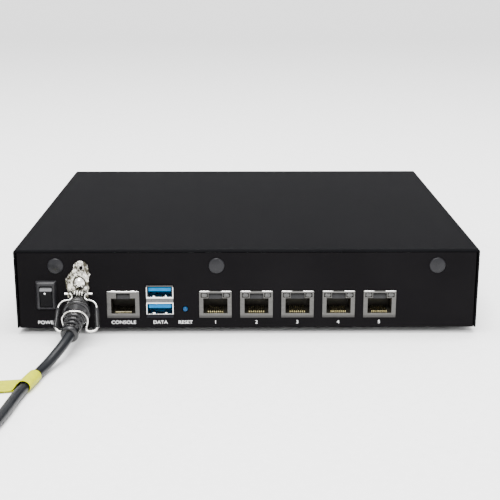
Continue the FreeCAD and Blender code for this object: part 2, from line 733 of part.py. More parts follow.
def make_plug():
    """Barrel plug: metal barrel, moulded nose, and a ribbed flexible boot that droops."""
    rear = rear_face()
    across = size("inlet_centre")
    up = size("inlet_height")
    outer = rod("PlugBarrelOuter", "y", ("inlet_centre", f"{REAR} - 0.4", "inlet_height"),
                "barrel_radius", "barrel_length + 0.4")
    hollow = rod("PlugBarrelBore", "y", ("inlet_centre", f"{REAR} + 2", "inlet_height"),
                 "inlet_pin + 0.15", "barrel_length")
    node(cut("PlugBarrel", outer, [hollow]), "dc_plug_barrel")

    start = (across, rear - 2.2, up)
    nose = Part.makeCylinder(4.9, 2.6, Vector(across, rear - 0.4, up), Vector(0, -1, 0))
    neck = lathe([(-0.8, 0), (-0.8, 4.9), (0.6, 5.1), (4.6, 5.1), (5.2, 5.5), (6.0, 5.5),
                  (6.0, 0)])
    node(shaped("PlugBody", nose.fuse(drooping(neck, across, start)).removeSplitter()),
         "dc_plug_body")

    profile = [(6.0, 0), (6.0, 5.6)]
    for number in range(3):
        base = 6.5 + 1.9 * number
        ring = 6.4 + 0.38 * number
        profile += [(base, ring), (base + 1.1, ring + 0.1), (base + 1.45, ring - 0.6)]
    profile += [(12.1, 6.9), (12.4, 3.3), (14.2, 3.3)]
    for number in range(4):
        base = 15.2 + 2.6 * number
        ring = 4.55 - 0.2 * number
        profile += [(base - 0.9, ring - 0.9), (base, ring - 0.9), (base + 0.25, ring),
                    (base + 1.2, ring)]
    profile += [(24.6, 3.0), (24.9, 4.3), (27.6, 4.35), (28.2, 3.9), (28.2, 0)]
    node(shaped("PlugBoot", drooping(lathe(profile), across, start)), "dc_plug_boot")


def make_retainer():
    """Nickel-plated bracket on the panel, its screw and spring, and the swinging wire bail."""
    rear = rear_face()
    middle = size("retainer_centre")
    gauge = size("plate_gauge")
    pivot = Vector(middle, rear - size("pivot_out"), size("pivot_height"))

    body = new_body("Bracket", "-plate_gauge")
    outline = [
        ("retainer_centre - 5.6", "21.6"), ("retainer_centre + 5.0", "21.6"),
        ("retainer_centre + 5.0", "24.6"), ("retainer_centre + 4.4", "26.0"),
        ("retainer_centre + 4.8", "30.2"), ("retainer_centre + 5.6", "31.8"),
        ("retainer_centre + 4.7", "33.4"), ("retainer_centre + 4.5", "36.2"),
        ("retainer_centre + 3.2", "38.0"), ("retainer_centre + 1.1", "38.7"),
        ("retainer_centre - 1.1", "38.3"), ("retainer_centre - 2.4", "36.8"),
        ("retainer_centre - 2.8", "34.0"), ("retainer_centre - 5.6", "31.4"),
        ("retainer_centre - 6.2", "28.6"), ("retainer_centre - 6.2", "24.4")]
    face = draw(body, "BracketFace", "XZ_Plane",
                [outline, ("retainer_centre + 1.1", "35.0", "0.95"),
                 ("retainer_centre", "retainer_screw_height", "screw_radius + 0.1")])
    pad(body, face, "plate_gauge - 0.05")
    flange = rectangle("retainer_centre - 6.2", "25.0", "retainer_centre - 5.5", "30.6")
    pad(body, draw(body, "BracketFlange", "XZ_Plane", [flange]), "2.2", away=False)
    ears = [rectangle(f"retainer_centre + {place}", "21.6", f"retainer_centre + {place} + 0.8",
                      "24.6") for place in ("4.2", "-5.0")]
    pad(body, draw(body, "BracketEars", "XZ_Plane", ears), "pivot_out + 0.9", away=False)
    bore = rod("PivotBore", "x", ("retainer_centre - 7", f"{REAR} - pivot_out", "pivot_height"),
               "wire_radius + 0.08", "14")
    node(cut("BracketBored", body, [bore]), "retainer_bracket")

    seat = (middle, rear - gauge, size("retainer_screw_height"))
    head = Part.makeSphere(3.6, Vector(seat[0], rear + 1.0, seat[2])).common(
        Part.makeCylinder(2.7, 3.0, Vector(seat[0], rear - gauge, seat[2]), Vector(0, -1, 0)))
    shank = Part.makeCylinder(1.4, 5.0, Vector(*seat), Vector(0, 1, 0))
    slots = [Part.makeBox(2.6, 1.0, 0.55, Vector(seat[0] - 1.3, rear - 2.9, seat[2] - 0.275)),
             Part.makeBox(0.55, 1.0, 2.6, Vector(seat[0] - 0.275, rear - 2.9, seat[2] - 1.3))]
    node(shaped("RetainerScrew", head.fuse(shank).cut(slots[0]).cut(slots[1])),
         "retainer_screw")

    coils = []
    for number in range(6):
        place = pivot + Vector((number - 2.5) * 0.78, 0, 0)
        coils.append(Part.makeTorus(1.15, 0.32, place, Vector(1, 0, 0)))
    for side in (-1, 1):
        foot = pivot + Vector(side * 2.9, 1.15, 0)
        coils.append(Part.makeCylinder(0.3, size("pivot_out") - gauge - 1.3, foot,
                                       Vector(0, 1, 0)))
    node(shaped("RetainerSpring", Part.makeCompound(coils)), "retainer_spring")

    half = [(6.8, pivot.y, pivot.z), (3.3, pivot.y, pivot.z), (3.1, rear - 6.1, 20.4),
            (9.2, rear - 8.0, 19.8), (10.4, rear - 16.0, 7.5), (4.9, rear - 17.0, 7.5)]
    loop = []
    for angle in (118, 88, 58, 29):
        turn = math.radians(angle)
        lift = 5.55 * math.cos(turn)
        loop.append((6.4 * math.sin(turn), rear - 15.3 - 0.206 * lift, 12.85 + 0.979 * lift))
    offset = size("inlet_centre") - middle
    right = [(middle + x, y, z) for x, y, z in half]
    right += [(middle + offset + x, y, z) for x, y, z in loop]
    left = [(middle - x, y, z) for x, y, z in half]
    left += [(middle + offset - x, y, z) for x, y, z in loop]
    wire, radii, length = tube(right + left[::-1], size("wire_radius"), 0.48)
    print("bail wire", round(length, 1), "mm, radii", radii)
    node(shaped("RetainerBail", wire), "retainer_bail")


make_dc_jack()
make_plug()
make_retainer()


# -------------------------------------------------------------------------- inside the case
def make_board():
    half = "board_half_width"
    plate = block("BoardPlate", (f"-{half}", f"{REAR} + 2", BOARD),
                  (half, f"{REAR} + 2 + board_depth", "board_top"))
    holes = []
    posts = []
    screws = []
    places = corner_places("board_half_width - 5", "14", "board_depth - 4")
    for number, (across, along) in enumerate(places):
        holes.append(rod(f"BoardHole{number}", "z", (across, along, f"{BOARD} - 1"), "1.6", "4"))
        post = rod(f"Post{number}", "z", (across, along, FLOOR), "standoff_radius",
                   f"{BOARD} - {FLOOR}")
        thread = rod(f"PostThread{number}", "z", (across, along, f"{FLOOR} + 0.6"), "1.5", "4")
        posts.append(cut(f"PostBored{number}", post, [thread]))
        head = rod(f"BoardScrewHead{number}", "z", (across, along, "board_top"), "2.7", "1.8")
        shank = rod(f"BoardScrewShank{number}", "z", (across, along, "board_top - 3.4"),
                    "screw_radius", "3.6")
        screws.append(fuse(f"BoardScrew{number}", [head, shank]))
    node(cut("MainBoard", plate, holes), "main_board")
    node(group("Standoffs", posts), "board_standoffs")
    node(group("BoardScrews", screws), "board_screws")


def part_box(name, across, along, width, depth, height, lift="0"):
    """A component standing on the board, centred at (across, along from the port panel)."""
    base = f"board_top + {lift}"
    return block(name, (f"{across} - {width} / 2", f"{REAR} + {along} - {depth} / 2", base),
                 (f"{across} + {width} / 2", f"{REAR} + {along} + {depth} / 2",
                  f"{base} + {height}"))


def make_electronics():
    node(part_box("Processor", 20, 95, 31, 24, 1.8), "processor")
    fins = [part_box("SinkBase", 20, 95, 70, 60, 3, "1.8")]
    for step in range(12):
        fins.append(part_box(f"SinkFin{step}", 20 - 33 + 6 * step, 95, 1.4, 60, 20, "4.5"))
    node(fuse("HeatSink", fins), "heat_sink")
    node(part_box("MemorySocket", -60, 120, 70, 6, 5), "memory_socket")
    node(part_box("MemoryModule", -60, 105.9, 67, 22, 1.2, "2.4"), "memory_module")
    node(part_box("StorageModule", -60, 70, 60, 22, 3.5), "storage_module")
    ring = rod("CellRing", "z", ("85", f"{REAR} + 60", "board_top"), "12", "4")
    seat = rod("CellSeat", "z", ("85", f"{REAR} + 60", "board_top + 0.6"), "10.1", "6")
    node(cut("CellHolder", ring, [seat]), "cell_holder")
    node(rod("CoinCell", "z", ("85", f"{REAR} + 60", "board_top + 0.65"), "10", "3.2"),
         "coin_cell")
    chips = [part_box(f"LanChip{number}", centre, 42, 9, 9, 1.2)
             for number, centre in enumerate(jack_centres())]
    chips.append(part_box("FlashChip", 85, 100, 8, 6, 1.8))
    chips.append(part_box("BridgeChip", 92, 35, 14, 14, 1.4))
    node(group("BoardChips", chips), "board_chips")
    passives = []
    for number, centre in enumerate(jack_centres()):
        passives.append(part_box(f"Magnetics{number}", centre, 26, 15, 9, 5))
        passives.append(part_box(f"Coil{number}", -95 + 12 * number, 35, 8, 8, 4))
        place = (f"{-78 + 11 * number}", f"{REAR} + 50", "board_top")
        passives.append(rod(f"Capacitor{number}", "z", place, "4", "9"))
    node(group("BoardPassives", passives), "board_passives")
    pipes = []
    lights = []
    for number in range(8):
        place = light_place(number)
        pipes.append(rod(f"LightPipe{number}", "y", (place, f"{REAR} + 184.5", "30"), "1.5",
                         "15.5"))
        lights.append(block(f"Led{number}", (f"{place} - 1.6", f"{REAR} + 182", "28.4"),
                            (f"{place} + 1.6", f"{REAR} + 184.4", "31.6")))
    node(group("LightPipes", pipes), "light_pipes")
    node(group("StatusLeds", lights), "status_leds")
    node(part_box("LightBoard", 61.5, 181, 72, 1.6, 26), "light_board")


def make_switch_wires():
    """Two insulated wires from the switch terminals to a connector on the board."""
    rear = rear_face()
    across = size("rocker_centre")
    wires = []
    for number, lift in enumerate((15.6, 24.8)):
        points = [(across, rear + 21.5, lift), (across, rear + 28, lift),
                  (across + 3, rear + 36, lift - 2), (across + 6 + 3 * number, rear + 44, 15)]
        wires.append(tube(points, 0.9)[0])
    node(shaped("SwitchWires", Part.makeCompound(wires)), "switch_wires")
    node(block("WireConnector", ("rocker_centre + 1", f"{REAR} + 44", "board_top"),
               ("rocker_centre + 12", f"{REAR} + 54", "board_top + 8")), "wire_connector")


make_board()
make_electronics()
make_switch_wires()


# ------------------------------------------------------------------------- lead and adapter
def row_place(across, out, up):
    """A point given by its distance out from the port panel's face."""
    rear = rear_face()
    return (across, rear - out, up)


def make_lead():
    visible = [(-84.0, 29.6, 10.4), (-85.6, 36.2, 8.7), (-88.4, 42.4, 6.1), (-91.6, 49.0, 3.4),
               (-94.0, 56.5, 2.45), (-95.8, 67.0, 2.45), (-98.2, 79.0, 2.45),
               (-99.4, 92.0, 2.45), (-100.6, 104.5, 2.45), (-102.8, 117.0, 2.45),
               (-106.4, 129.0, 2.45)]
    onward = [(-173.3, 113.5, 7.3), (-173.0, 106.5, 7.6), (-172.0, 99.3, 8.8),
              (-170.6, 92.2, 11.2), (-169.3, 85.0, 13.9), (-169.0, 78.0, 15.0)]
    runs = []
    for points in (visible, onward):
        solid, radii, length = tube([row_place(*point) for point in points], size("cord_radius"))
        print("lead run", round(length, 1), "mm, radii", radii)
        runs.append(solid)
    node(shaped("PowerCord", Part.makeCompound(runs)), "power_cord")


def make_coil():
    centre = ("coil_centre_across", f"{REAR} - coil_centre_out", "0")
    outer = rod("CoilOuter", "z", centre, "coil_outer", "coil_height")
    hole = rod("CoilHole", "z", ("coil_centre_across", f"{REAR} - coil_centre_out", "-1"),
               "coil_inner", "coil_height + 2")
    node(cut("CordCoil", outer, [hole]), "cord_coil")
    middle = "coil_centre_across"
    out = f"{REAR} - coil_centre_out - (coil_inner + coil_outer) / 2"
    half = "((coil_outer - coil_inner) / 2)"
    band = block("TieBand", (f"{middle} - 4", f"{out} - {half} - 0.7", "0"),
                 (f"{middle} + 4", f"{out} + {half} + 0.7", "coil_height + 0.7"))
    space = block("TieSpace", (f"{middle} - 5", f"{out} - {half} - 0.02", "-1"),
                  (f"{middle} + 5", f"{out} + {half} + 0.02", "coil_height + 0.02"))
    node(cut("CoilTie", band, [space]), "coil_tie")


def make_tag():
    """Folded warning flag: a band wrapped round the lead with its tail lying out to the left."""
    rear = rear_face()
    radius = size("cord_radius")
    band = Part.makeCylinder(radius + 0.5, 13.0, Vector(-94.6, rear - 57.5, radius + 0.5),
                             Vector(-0.16, -1, 0).normalize())
    tail = Part.makeBox(34.0, 13.0, 0.6, Vector(-34.0, -13.0, 0))
    tail.Placement = Placement(Vector(-96.2, rear - 57.5, 0.9), Rotation(Vector(0, 0, 1), 12))
    node(shaped("CordTag", band.fuse(tail)), "cord_tag")


def make_adapter():
    """Desktop power supply: two snapped shells, mains inlet and strain relief."""
    left = "adapter_centre - adapter_width / 2"
    right = "adapter_centre + adapter_width / 2"
    front = f"({REAR} + adapter_front)"
    back = f"({REAR} + adapter_front + adapter_length)"
    seam = "(adapter_height / 2)"
    wall = "2"

    def half_shell(name, low, high, inner_low, inner_high):
        outer = block(f"{name}Outer", (left, front, low), (right, back, high))
        inner = block(f"{name}Inner", (f"{left} + {wall}", f"{front} + {wall}", inner_low),
                      (f"{right} - {wall}", f"{back} - {wall}", inner_high))
        mouth_hole = block(f"{name}Mouth", ("adapter_centre - 10", f"{back} - 4", "9"),
                           ("adapter_centre + 10", f"{back} + 1", "21"))
        cord_hole = rod(f"{name}CordHole", "y", ("adapter_centre", f"{front} - 1", "15"), "3.4",
                        "5")
        return cut(name, outer, [inner, mouth_hole, cord_hole])

    node(half_shell("AdapterBase", "0", seam, wall, f"{seam} + 1"), "adapter_base")
    node(half_shell("AdapterLid", seam, "adapter_height", f"{seam} - 1",
                    f"adapter_height - {wall}"), "adapter_lid")
    shell = block("InletShell", ("adapter_centre - 9.9", f"{back} - 16", "9.1"),
                  ("adapter_centre + 9.9", f"{back} - 0.2", "20.9"))
    socket = block("InletSocket", ("adapter_centre - 7", f"{back} - 13", "10.9"),
                   ("adapter_centre + 7", f"{back} + 1", "19.1"))
    pins = [rod(f"InletPin{side + 1}", "y", (f"adapter_centre + {side} * 4.4", f"{back} - 14",
                                             "15"), "1.15", "10") for side in (-1, 1)]
    node(fuse("AdapterInlet", [cut("InletHollow", shell, [socket])] + pins), "adapter_inlet")
    end = rear_face() + size("adapter_front")
    boot = lathe([(-2.5, 0), (-2.5, 5.0), (-0.2, 5.0), (-0.2, 3.3), (2.1, 3.3), (2.1, 5.0),
                  (6.0, 4.6), (size("relief_length"), 3.1), (size("relief_length"), 0)])
    turn = Rotation(Vector(1, 0, 0), 90)
    place = Placement(Vector(size("adapter_centre"), end + 2.0, 15.0), turn)
    node(shaped("AdapterRelief", boot.transformed(place.toMatrix())), "adapter_strain_relief")


make_lead()
make_coil()
make_tag()
make_adapter()


# ------------------------------------------------------------------------ check and export
doc.recompute()
faults = [item.Name for item in doc.Objects if "Invalid" in item.State or "Error" in item.State]
for item in NODES:
    if item.Shape.isNull() or not item.Shape.isValid() or not item.Shape.Solids:
        faults.append(item.Label)
if faults:
    raise RuntimeError(f"not built: {faults}")

os.makedirs("parts", exist_ok=True)
for item in NODES:
    item.Shape.exportStep(f"parts/{item.Label}.step")
    box = item.Shape.BoundBox
    print(f"{item.Label:22s} solids {len(item.Shape.Solids):3d}  volume {item.Shape.Volume:9.1f}"
          f"  x {box.XMin:7.1f} {box.XMax:7.1f}  y {box.YMin:7.1f} {box.YMax:7.1f}"
          f"  z {box.ZMin:6.2f} {box.ZMax:6.2f}")
print(len(NODES), "nodes")
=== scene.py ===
# %% [markdown]
# # A desktop firewall appliance, finished in Blender
#
# The frame, the ports and every moving part come from a packed engineering model, and this
# notebook gives them their looks.  It keeps three habits.  Places are distances from one face
# that the frame gives.  New pieces are surfaces worked out as whole numpy arrays.  Finishes are
# procedural, so they hold up from any side and at any distance.

# %% Load the frame
import math

import bmesh
import bpy
import numpy as np
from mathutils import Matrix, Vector


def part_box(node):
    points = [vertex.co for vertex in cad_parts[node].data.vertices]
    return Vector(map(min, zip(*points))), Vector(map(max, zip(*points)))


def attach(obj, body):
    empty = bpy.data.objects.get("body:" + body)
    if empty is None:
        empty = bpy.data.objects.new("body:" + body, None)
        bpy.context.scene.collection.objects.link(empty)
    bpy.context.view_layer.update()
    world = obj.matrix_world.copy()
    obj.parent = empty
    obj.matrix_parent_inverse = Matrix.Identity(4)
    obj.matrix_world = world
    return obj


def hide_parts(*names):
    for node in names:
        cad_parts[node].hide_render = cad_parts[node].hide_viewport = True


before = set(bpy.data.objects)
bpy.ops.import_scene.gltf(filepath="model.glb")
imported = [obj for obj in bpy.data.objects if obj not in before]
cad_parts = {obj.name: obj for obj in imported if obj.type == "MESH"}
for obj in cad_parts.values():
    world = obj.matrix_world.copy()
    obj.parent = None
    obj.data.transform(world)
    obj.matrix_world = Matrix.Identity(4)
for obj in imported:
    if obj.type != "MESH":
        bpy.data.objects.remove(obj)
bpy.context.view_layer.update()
MM = 0.001
print(len(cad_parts), "pieces from the frame")

# %% [markdown]
# ## Where things are
#
# Everything is measured from the outer face of the port panel, because that is the plane a
# technician looks at.  `out` is the distance in front of that face, towards -Y.  `place` gives
# one point and `placed` a whole array of them.

# %% Reference places
PANEL_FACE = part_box("port_panel")[0].y


def place(across, out, up):
    """Millimetres across, out from the port panel and up, as a point of the frame in metres."""
    return (across * MM, PANEL_FACE - out * MM, up * MM)


def placed(points):
    """The same for a whole array (..., 3) of such points at once."""
    return np.array([0.0, PANEL_FACE, 0.0]) + np.asarray(points, float) * (MM, -MM, MM)


def middle_of(node):
    """The centre of a piece's box, and half its size, as two numpy arrays."""
    low, high = (np.array(corner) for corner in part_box(node))
    return (low + high) / 2, (high - low) / 2


print("port panel face at y =", round(PANEL_FACE, 5))

# %% [markdown]
# ## The camera
#
# The appliance is looked at from in front of its port panel and a little above, through a
# fairly long lens, so that the top shows as a narrow trapezium and the panel stays undistorted.

# %% Camera
CAMERA_PITCH = 15.52
CAMERA_YAW = -0.00808
camera_data = bpy.data.cameras.new("view")
camera_data.lens = 73.8
camera_data.sensor_width = 36.0
camera = bpy.data.objects.new("view", camera_data)
camera.location = place(-2.44, 487.06, 179.08)
camera.rotation_euler = (math.radians(90 - CAMERA_PITCH), 0, CAMERA_YAW)
bpy.context.collection.objects.link(camera)
bpy.context.scene.camera = camera
print("camera at", [round(value, 4) for value in camera.location])

# %% [markdown]
# ## The lead
#
# A DC lead is a soft round jacket over two conductors: it lies on the desk under its own weight
# and takes long lazy bends.  A NURBS spline of order three gives such bends from a few control
# points.  The length that isn't needed is put away as a neat coil, two layers of three turns, and
# the turns are further points of the same spline, so the lead stays one continuous curve.

# %% Lead route
CORD_DIAMETER = 4.8
COIL_CENTRE = (-139.5, 121.0)
COIL_PITCH = 4.86
COIL_RADIUS = 33.7
COIL_TURNS = 3
COIL_START = -20
CLIMB = 160.0
TURN_POINTS = 16

to_coil = [(-84.0, 29.6, 10.4), (-85.6, 36.2, 8.7), (-88.4, 42.4, 6.1), (-91.6, 49.0, 3.4),
           (-94.0, 56.5, 2.45), (-95.8, 67.0, 2.45), (-98.2, 79.0, 2.45), (-99.4, 92.0, 2.45),
           (-100.6, 104.5, 2.45), (-102.8, 117.0, 2.45), (-106.4, 129.0, 2.45)]
from_coil = [(-173.3, 113.5, 7.3), (-173.0, 106.5, 7.6), (-172.0, 99.3, 8.8),
             (-170.6, 92.2, 11.2), (-169.3, 85.0, 13.9), (-169.0, 78.0, 15.0)]


def coil_points():
    """Control points of the coil: inwards on the floor, up, then outwards on the top layer."""
    layer = COIL_TURNS * 360.0
    turned = np.arange(360 / TURN_POINTS, 2 * layer + CLIMB, 360 / TURN_POINTS)
    inward = np.clip(turned / 360, 0, COIL_TURNS)
    outward = np.clip((turned - layer - CLIMB) / 360, 0, COIL_TURNS)
    radius = COIL_RADIUS - COIL_PITCH * (inward - outward)
    radius = radius / math.cos(math.pi / TURN_POINTS) ** 0.5
    rise = np.clip((turned - layer) / CLIMB, 0, 1)
    height = CORD_DIAMETER / 2 + 0.05 + COIL_PITCH * rise * rise * (3 - 2 * rise)
    angle = np.radians(COIL_START - turned)
    across = COIL_CENTRE[0] + radius * np.cos(angle)
    out = COIL_CENTRE[1] - radius * np.sin(angle)
    return list(zip(across, out, height))


def nurbs_cord(name, points, diameter):
    """A round cord along an order-3 NURBS spline whose control points are given in mm.

    A control point's radius pads the curve's bounding box, so it is a millimetre and not one.
    """
    curve = bpy.data.curves.new(name, "CURVE")
    curve.dimensions = "3D"
    curve.bevel_depth = diameter / 2
    curve.bevel_resolution = 8
    curve.use_fill_caps = True
    spline = curve.splines.new("NURBS")
    spline.points.add(len(points) - 1)
    for control, point in zip(spline.points, points):
        control.co = (*place(*point), 1.0)
        control.radius = MM
    spline.order_u = 3
    spline.use_endpoint_u = True
    spline.resolution_u = 6
    cord = bpy.data.objects.new(name, curve)
    bpy.context.collection.objects.link(cord)
    return cord


lead = nurbs_cord("lead", to_coil + coil_points() + from_coil, CORD_DIAMETER)
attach(lead, "appliance")
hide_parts("power_cord", "cord_coil")
print("lead control points:", len(to_coil) + len(coil_points()) + len(from_coil))

# %% [markdown]
# ## Mesh tools
#
# Almost every new piece is a stack of rings, an array of (rings, points, 3), and `tube_parts`
# closes such a stack into a skin.  `lathe_rings` spins a profile about an axis to make one,
# `swept` carries a section along a path with as little turning as it can, and `prism_parts`
# draws an outline straight across.

# %% Mesh tools
def add_mesh(name, points, faces, smooth_angle=35):
    """A linked mesh object from an (n, 3) array in metres and a list of faces."""
    mesh = bpy.data.meshes.new(name)
    mesh.from_pydata(np.asarray(points).tolist(), [], [list(map(int, face)) for face in faces])
    mesh.validate()
    work = bmesh.new()
    work.from_mesh(mesh)
    bmesh.ops.recalc_face_normals(work, faces=work.faces)
    work.to_mesh(mesh)
    work.free()
    mesh.shade_smooth()
    mesh.set_sharp_from_angle(angle=math.radians(smooth_angle))
    piece = bpy.data.objects.new(name, mesh)
    bpy.context.collection.objects.link(piece)
    return piece


def ring_faces(rows, columns):
    """Quads between neighbouring rings of an array of rows x columns points."""
    row = np.arange(rows - 1)[:, None] * columns
    column = np.arange(columns)[None, :]
    following = (column + 1) % columns
    corners = [row + column, row + following, row + columns + following, row + columns + column]
    return np.stack(corners, axis=-1).reshape(-1, 4)


def tube_parts(rings):
    """Points and faces of a closed skin over stacked rings (rows, columns, 3), ends capped."""
    rows, columns = rings.shape[:2]
    faces = [list(face) for face in ring_faces(rows, columns)]
    faces.append(list(range(columns))[::-1])
    faces.append(list(range((rows - 1) * columns, rows * columns)))
    return rings.reshape(-1, 3), faces


def joined(parts):
    """Several (points, faces) pairs as one pair."""
    points, faces, offset = [], [], 0
    for some_points, some_faces in parts:
        points.append(some_points)
        faces += [[index + offset for index in face] for face in some_faces]
        offset += len(some_points)
    return np.concatenate(points), faces


def frame_along(path):
    """Tangents and two normals at each point of a path, carried with the least turning."""
    tangents = np.gradient(path, axis=0)
    tangents /= np.linalg.norm(tangents, axis=1)[:, None]
    normal = np.cross(tangents[0], (0.0, 0.0, 1.0))
    if np.linalg.norm(normal) < 0.1:
        normal = np.cross(tangents[0], (1.0, 0.0, 0.0))
    normals = []
    for tangent in tangents:
        normal = normal - tangent * np.dot(normal, tangent)
        normal /= np.linalg.norm(normal)
        normals.append(normal)
    normals = np.array(normals)
    return tangents, normals, np.cross(tangents, normals)


def swept(path, section, scale=None):
    """Rings of a section (m, 2) carried along a path (n, 3); scale grows it at each point."""
    _, normals, others = frame_along(path)
    scale = np.ones(len(path)) if scale is None else np.asarray(scale)
    spread = section[None, :, :] * scale[:, None, None]
    return (path[:, None, :] + spread[:, :, :1] * normals[:, None, :]
            + spread[:, :, 1:] * others[:, None, :])


def circle(radius, count=32):
    """Points (count, 2) round a circle."""
    angle = np.linspace(0, math.tau, count, endpoint=False)
    return radius * np.stack([np.cos(angle), np.sin(angle)], axis=-1)


def lathe_rings(profile, origin, axis, count=48):
    """Rings of a profile of (height, radius) pairs in mm, spun about an axis from an origin."""
    profile = np.array(profile, dtype=float) * MM
    origin = np.array(origin, dtype=float)
    axis = np.array(axis, dtype=float) / np.linalg.norm(axis)
    side = np.cross(axis, (0.0, 0.0, 1.0) if abs(axis[2]) < 0.9 else (1.0, 0.0, 0.0))
    side /= np.linalg.norm(side)
    up = np.cross(axis, side)
    ring = circle(1.0, count)
    radial = ring[:, :1] * side + ring[:, 1:] * up
    return (origin + profile[:, :1, None] * axis + profile[:, 1:, None] * radial[None])


def smooth_curve(points, samples):
    """A Catmull-Rom curve through points (n, 3), as an array of evenly numbered samples."""
    points = np.asarray(points, dtype=float)
    padded = np.concatenate([[2 * points[0] - points[1]], points, [2 * points[-1] - points[-2]]])
    along = np.linspace(0, len(points) - 1, samples)
    index = np.minimum(along.astype(int), len(points) - 2)
    part = (along - index)[:, None]
    before, start, end, after = (padded[index + step] for step in range(4))
    return 0.5 * (2 * start + (end - before) * part
                  + (2 * before - 5 * start + 4 * end - after) * part ** 2
                  + (3 * start - before - 3 * end + after) * part ** 3)


def prism_parts(outline, left, right):
    """A closed outline of (out, up) in mm, drawn straight across from left to right in mm."""
    flat = np.array(outline, dtype=float)
    ends = [np.insert(flat, 0, across, axis=1) for across in (left, right)]
    return tube_parts(placed(ends))


def soften_edges(piece, width, segments=2, angle=32):
    """Round a piece's sharp edges with a Bevel of the given width in mm."""
    bevel = piece.modifiers.new("soft_edges", "BEVEL")
    bevel.width = width * MM
    bevel.segments = segments
    bevel.limit_method = "ANGLE"
    bevel.angle_limit = math.radians(angle)
    bevel.harden_normals = True
    bevel.use_clamp_overlap = True
    return piece


def finish_piece(piece, body, slot, *replaced):
    """Give a new piece its body and hide the frame nodes it stands for; slot is not used."""
    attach(piece, body)
    if replaced:
        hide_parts(*replaced)
    return piece


# %% [markdown]
# ## Softening sharp edges
#
# Folded sheet and moulded plastic never end in a mathematically sharp edge, and the thin line
# of light along a real edge is what makes it look solid.  A frame node's mesh is loose triangles,
# so a copy is welded and its flat triangles are merged first.  Then a Bevel rounds what is sharp.

# %% Softened copies
def softened(node, width, slot, segments=2, angle=32):
    """A welded, bevelled copy of a frame node that stands in its place; width is in mm."""
    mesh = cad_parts[node].data.copy()
    work = bmesh.new()
    work.from_mesh(mesh)
    bmesh.ops.remove_doubles(work, verts=work.verts, dist=1e-6)
    bmesh.ops.dissolve_limit(work, angle_limit=math.radians(0.6), verts=work.verts,
                             edges=work.edges)
    work.to_mesh(mesh)
    work.free()
    mesh.shade_smooth()
    mesh.set_sharp_from_angle(angle=math.radians(angle))
    piece = bpy.data.objects.new(f"{node}_finished", mesh)
    bpy.context.collection.objects.link(piece)
    soften_edges(piece, width, segments, angle)
    return finish_piece(piece, "appliance", slot, node)


# %% [markdown]
# ## Shader arithmetic
#
# A finish is easier to read as a sum than as a picture of nodes.  `Mask` wraps a socket, and
# adding or multiplying masks adds the Math nodes.  `Finish` wraps one material: `node` makes any
# other node from its type, its settings and its sockets' values.

# %% Shader arithmetic
class Mask:
    """A value socket that takes part in plain arithmetic."""

    def __init__(self, finish, socket):
        self.finish = finish
        self.socket = socket

    def _math(self, operation, first, second):
        return self.finish.node("ShaderNodeMath", {"operation": operation}, {0: first, 1: second})

    def __add__(self, other):
        return self._math("ADD", self, other)

    __radd__ = __add__

    def __mul__(self, other):
        return self._math("MULTIPLY", self, other)

    __rmul__ = __mul__

    def __sub__(self, other):
        return self._math("SUBTRACT", self, other)

    def __rsub__(self, other):
        return self._math("SUBTRACT", other, self)


class Finish:
    """One procedural material around a Principled shader, patterned on Object coordinates."""

    def __init__(self, name, **constants):
        self.material = bpy.data.materials.new(name)
        self.material.use_nodes = True
        self.tree = self.material.node_tree
        self.shader = self.tree.nodes["Principled BSDF"]
        self.coordinates = self.tree.nodes.new("ShaderNodeTexCoord").outputs["Object"]
        for socket, value in constants.items():
            self.shader.inputs[socket.replace("_", " ")].default_value = value

    def node(self, kind, settings=None, inputs=None, output=0):
        """Any node: settings first, then its sockets' values or links; returns one output."""
        item = self.tree.nodes.new(kind)
        for key, value in (settings or {}).items():
            setattr(item, key, value)
        for key, value in (inputs or {}).items():
            if isinstance(value, Mask):
                self.tree.links.new(value.socket, item.inputs[key])
            else:
                item.inputs[key].default_value = value
        return Mask(self, item.outputs[output])

    def feed(self, socket, mask):
        """Link a mask to one of the shader's own sockets."""
        self.tree.links.new(mask.socket, self.shader.inputs[socket])

    def stretched(self, scale):
        """Object coordinates multiplied by a scale for each axis."""
        return self.node("ShaderNodeMapping", {}, {"Vector": Mask(self, self.coordinates),
                                                   "Scale": scale})

    def noise(self, per_mm, detail=3.0, roughness=0.55, stretch=(1, 1, 1)):
        """Noise with about per_mm bumps in a millimetre, from 0 to 1."""
        scale = tuple(1000 * per_mm * value for value in stretch)
        return self.node("ShaderNodeTexNoise", {}, {"Vector": self.stretched(scale), "Scale": 1.0,
                                                    "Detail": detail, "Roughness": roughness})

    def height(self):
        """How high a point is in the frame, in metres."""
        return self.node("ShaderNodeSeparateXYZ", {}, {0: Mask(self, self.coordinates)}, 2)

    def band(self, low, high, blur=0.06):
        """1 between two heights in mm and 0 elsewhere, with a soft edge."""
        up = self.height()
        enters = self.ramp(up, (low - blur) * MM, (low + blur) * MM)
        return enters - self.ramp(up, (high - blur) * MM, (high + blur) * MM)

    def ramp(self, mask, low, high):
        """The mask spread so that low becomes 0 and high becomes 1."""
        return self.node("ShaderNodeMapRange", {"clamp": True},
                         {"Value": mask, "From Min": low, "From Max": high})

    def blend(self, mask, first, second):
        """Two colours mixed by a mask; a colour is three numbers or another blend."""
        def colour(value):
            return value if isinstance(value, Mask) else (*value, 1.0)
        return self.node("ShaderNodeMix", {"data_type": "RGBA"},
                         {0: mask, 6: colour(first), 7: colour(second)}, 2)

    def bump(self, height, depth_mm, strength=1.0, under=None):
        """Surface relief of a height mask, depth_mm high, over an earlier bump."""
        inputs = {"Height": height, "Strength": strength, "Distance": depth_mm * MM}
        if under is not None:
            inputs["Normal"] = under
        return self.node("ShaderNodeBump", {}, inputs)


def dress(finish, *items):
    """Give a finish to frame nodes by name, or to pieces."""
    for item in items:
        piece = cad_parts[item] if isinstance(item, str) else item
        piece.data.materials.clear()
        piece.data.materials.append(finish.material)


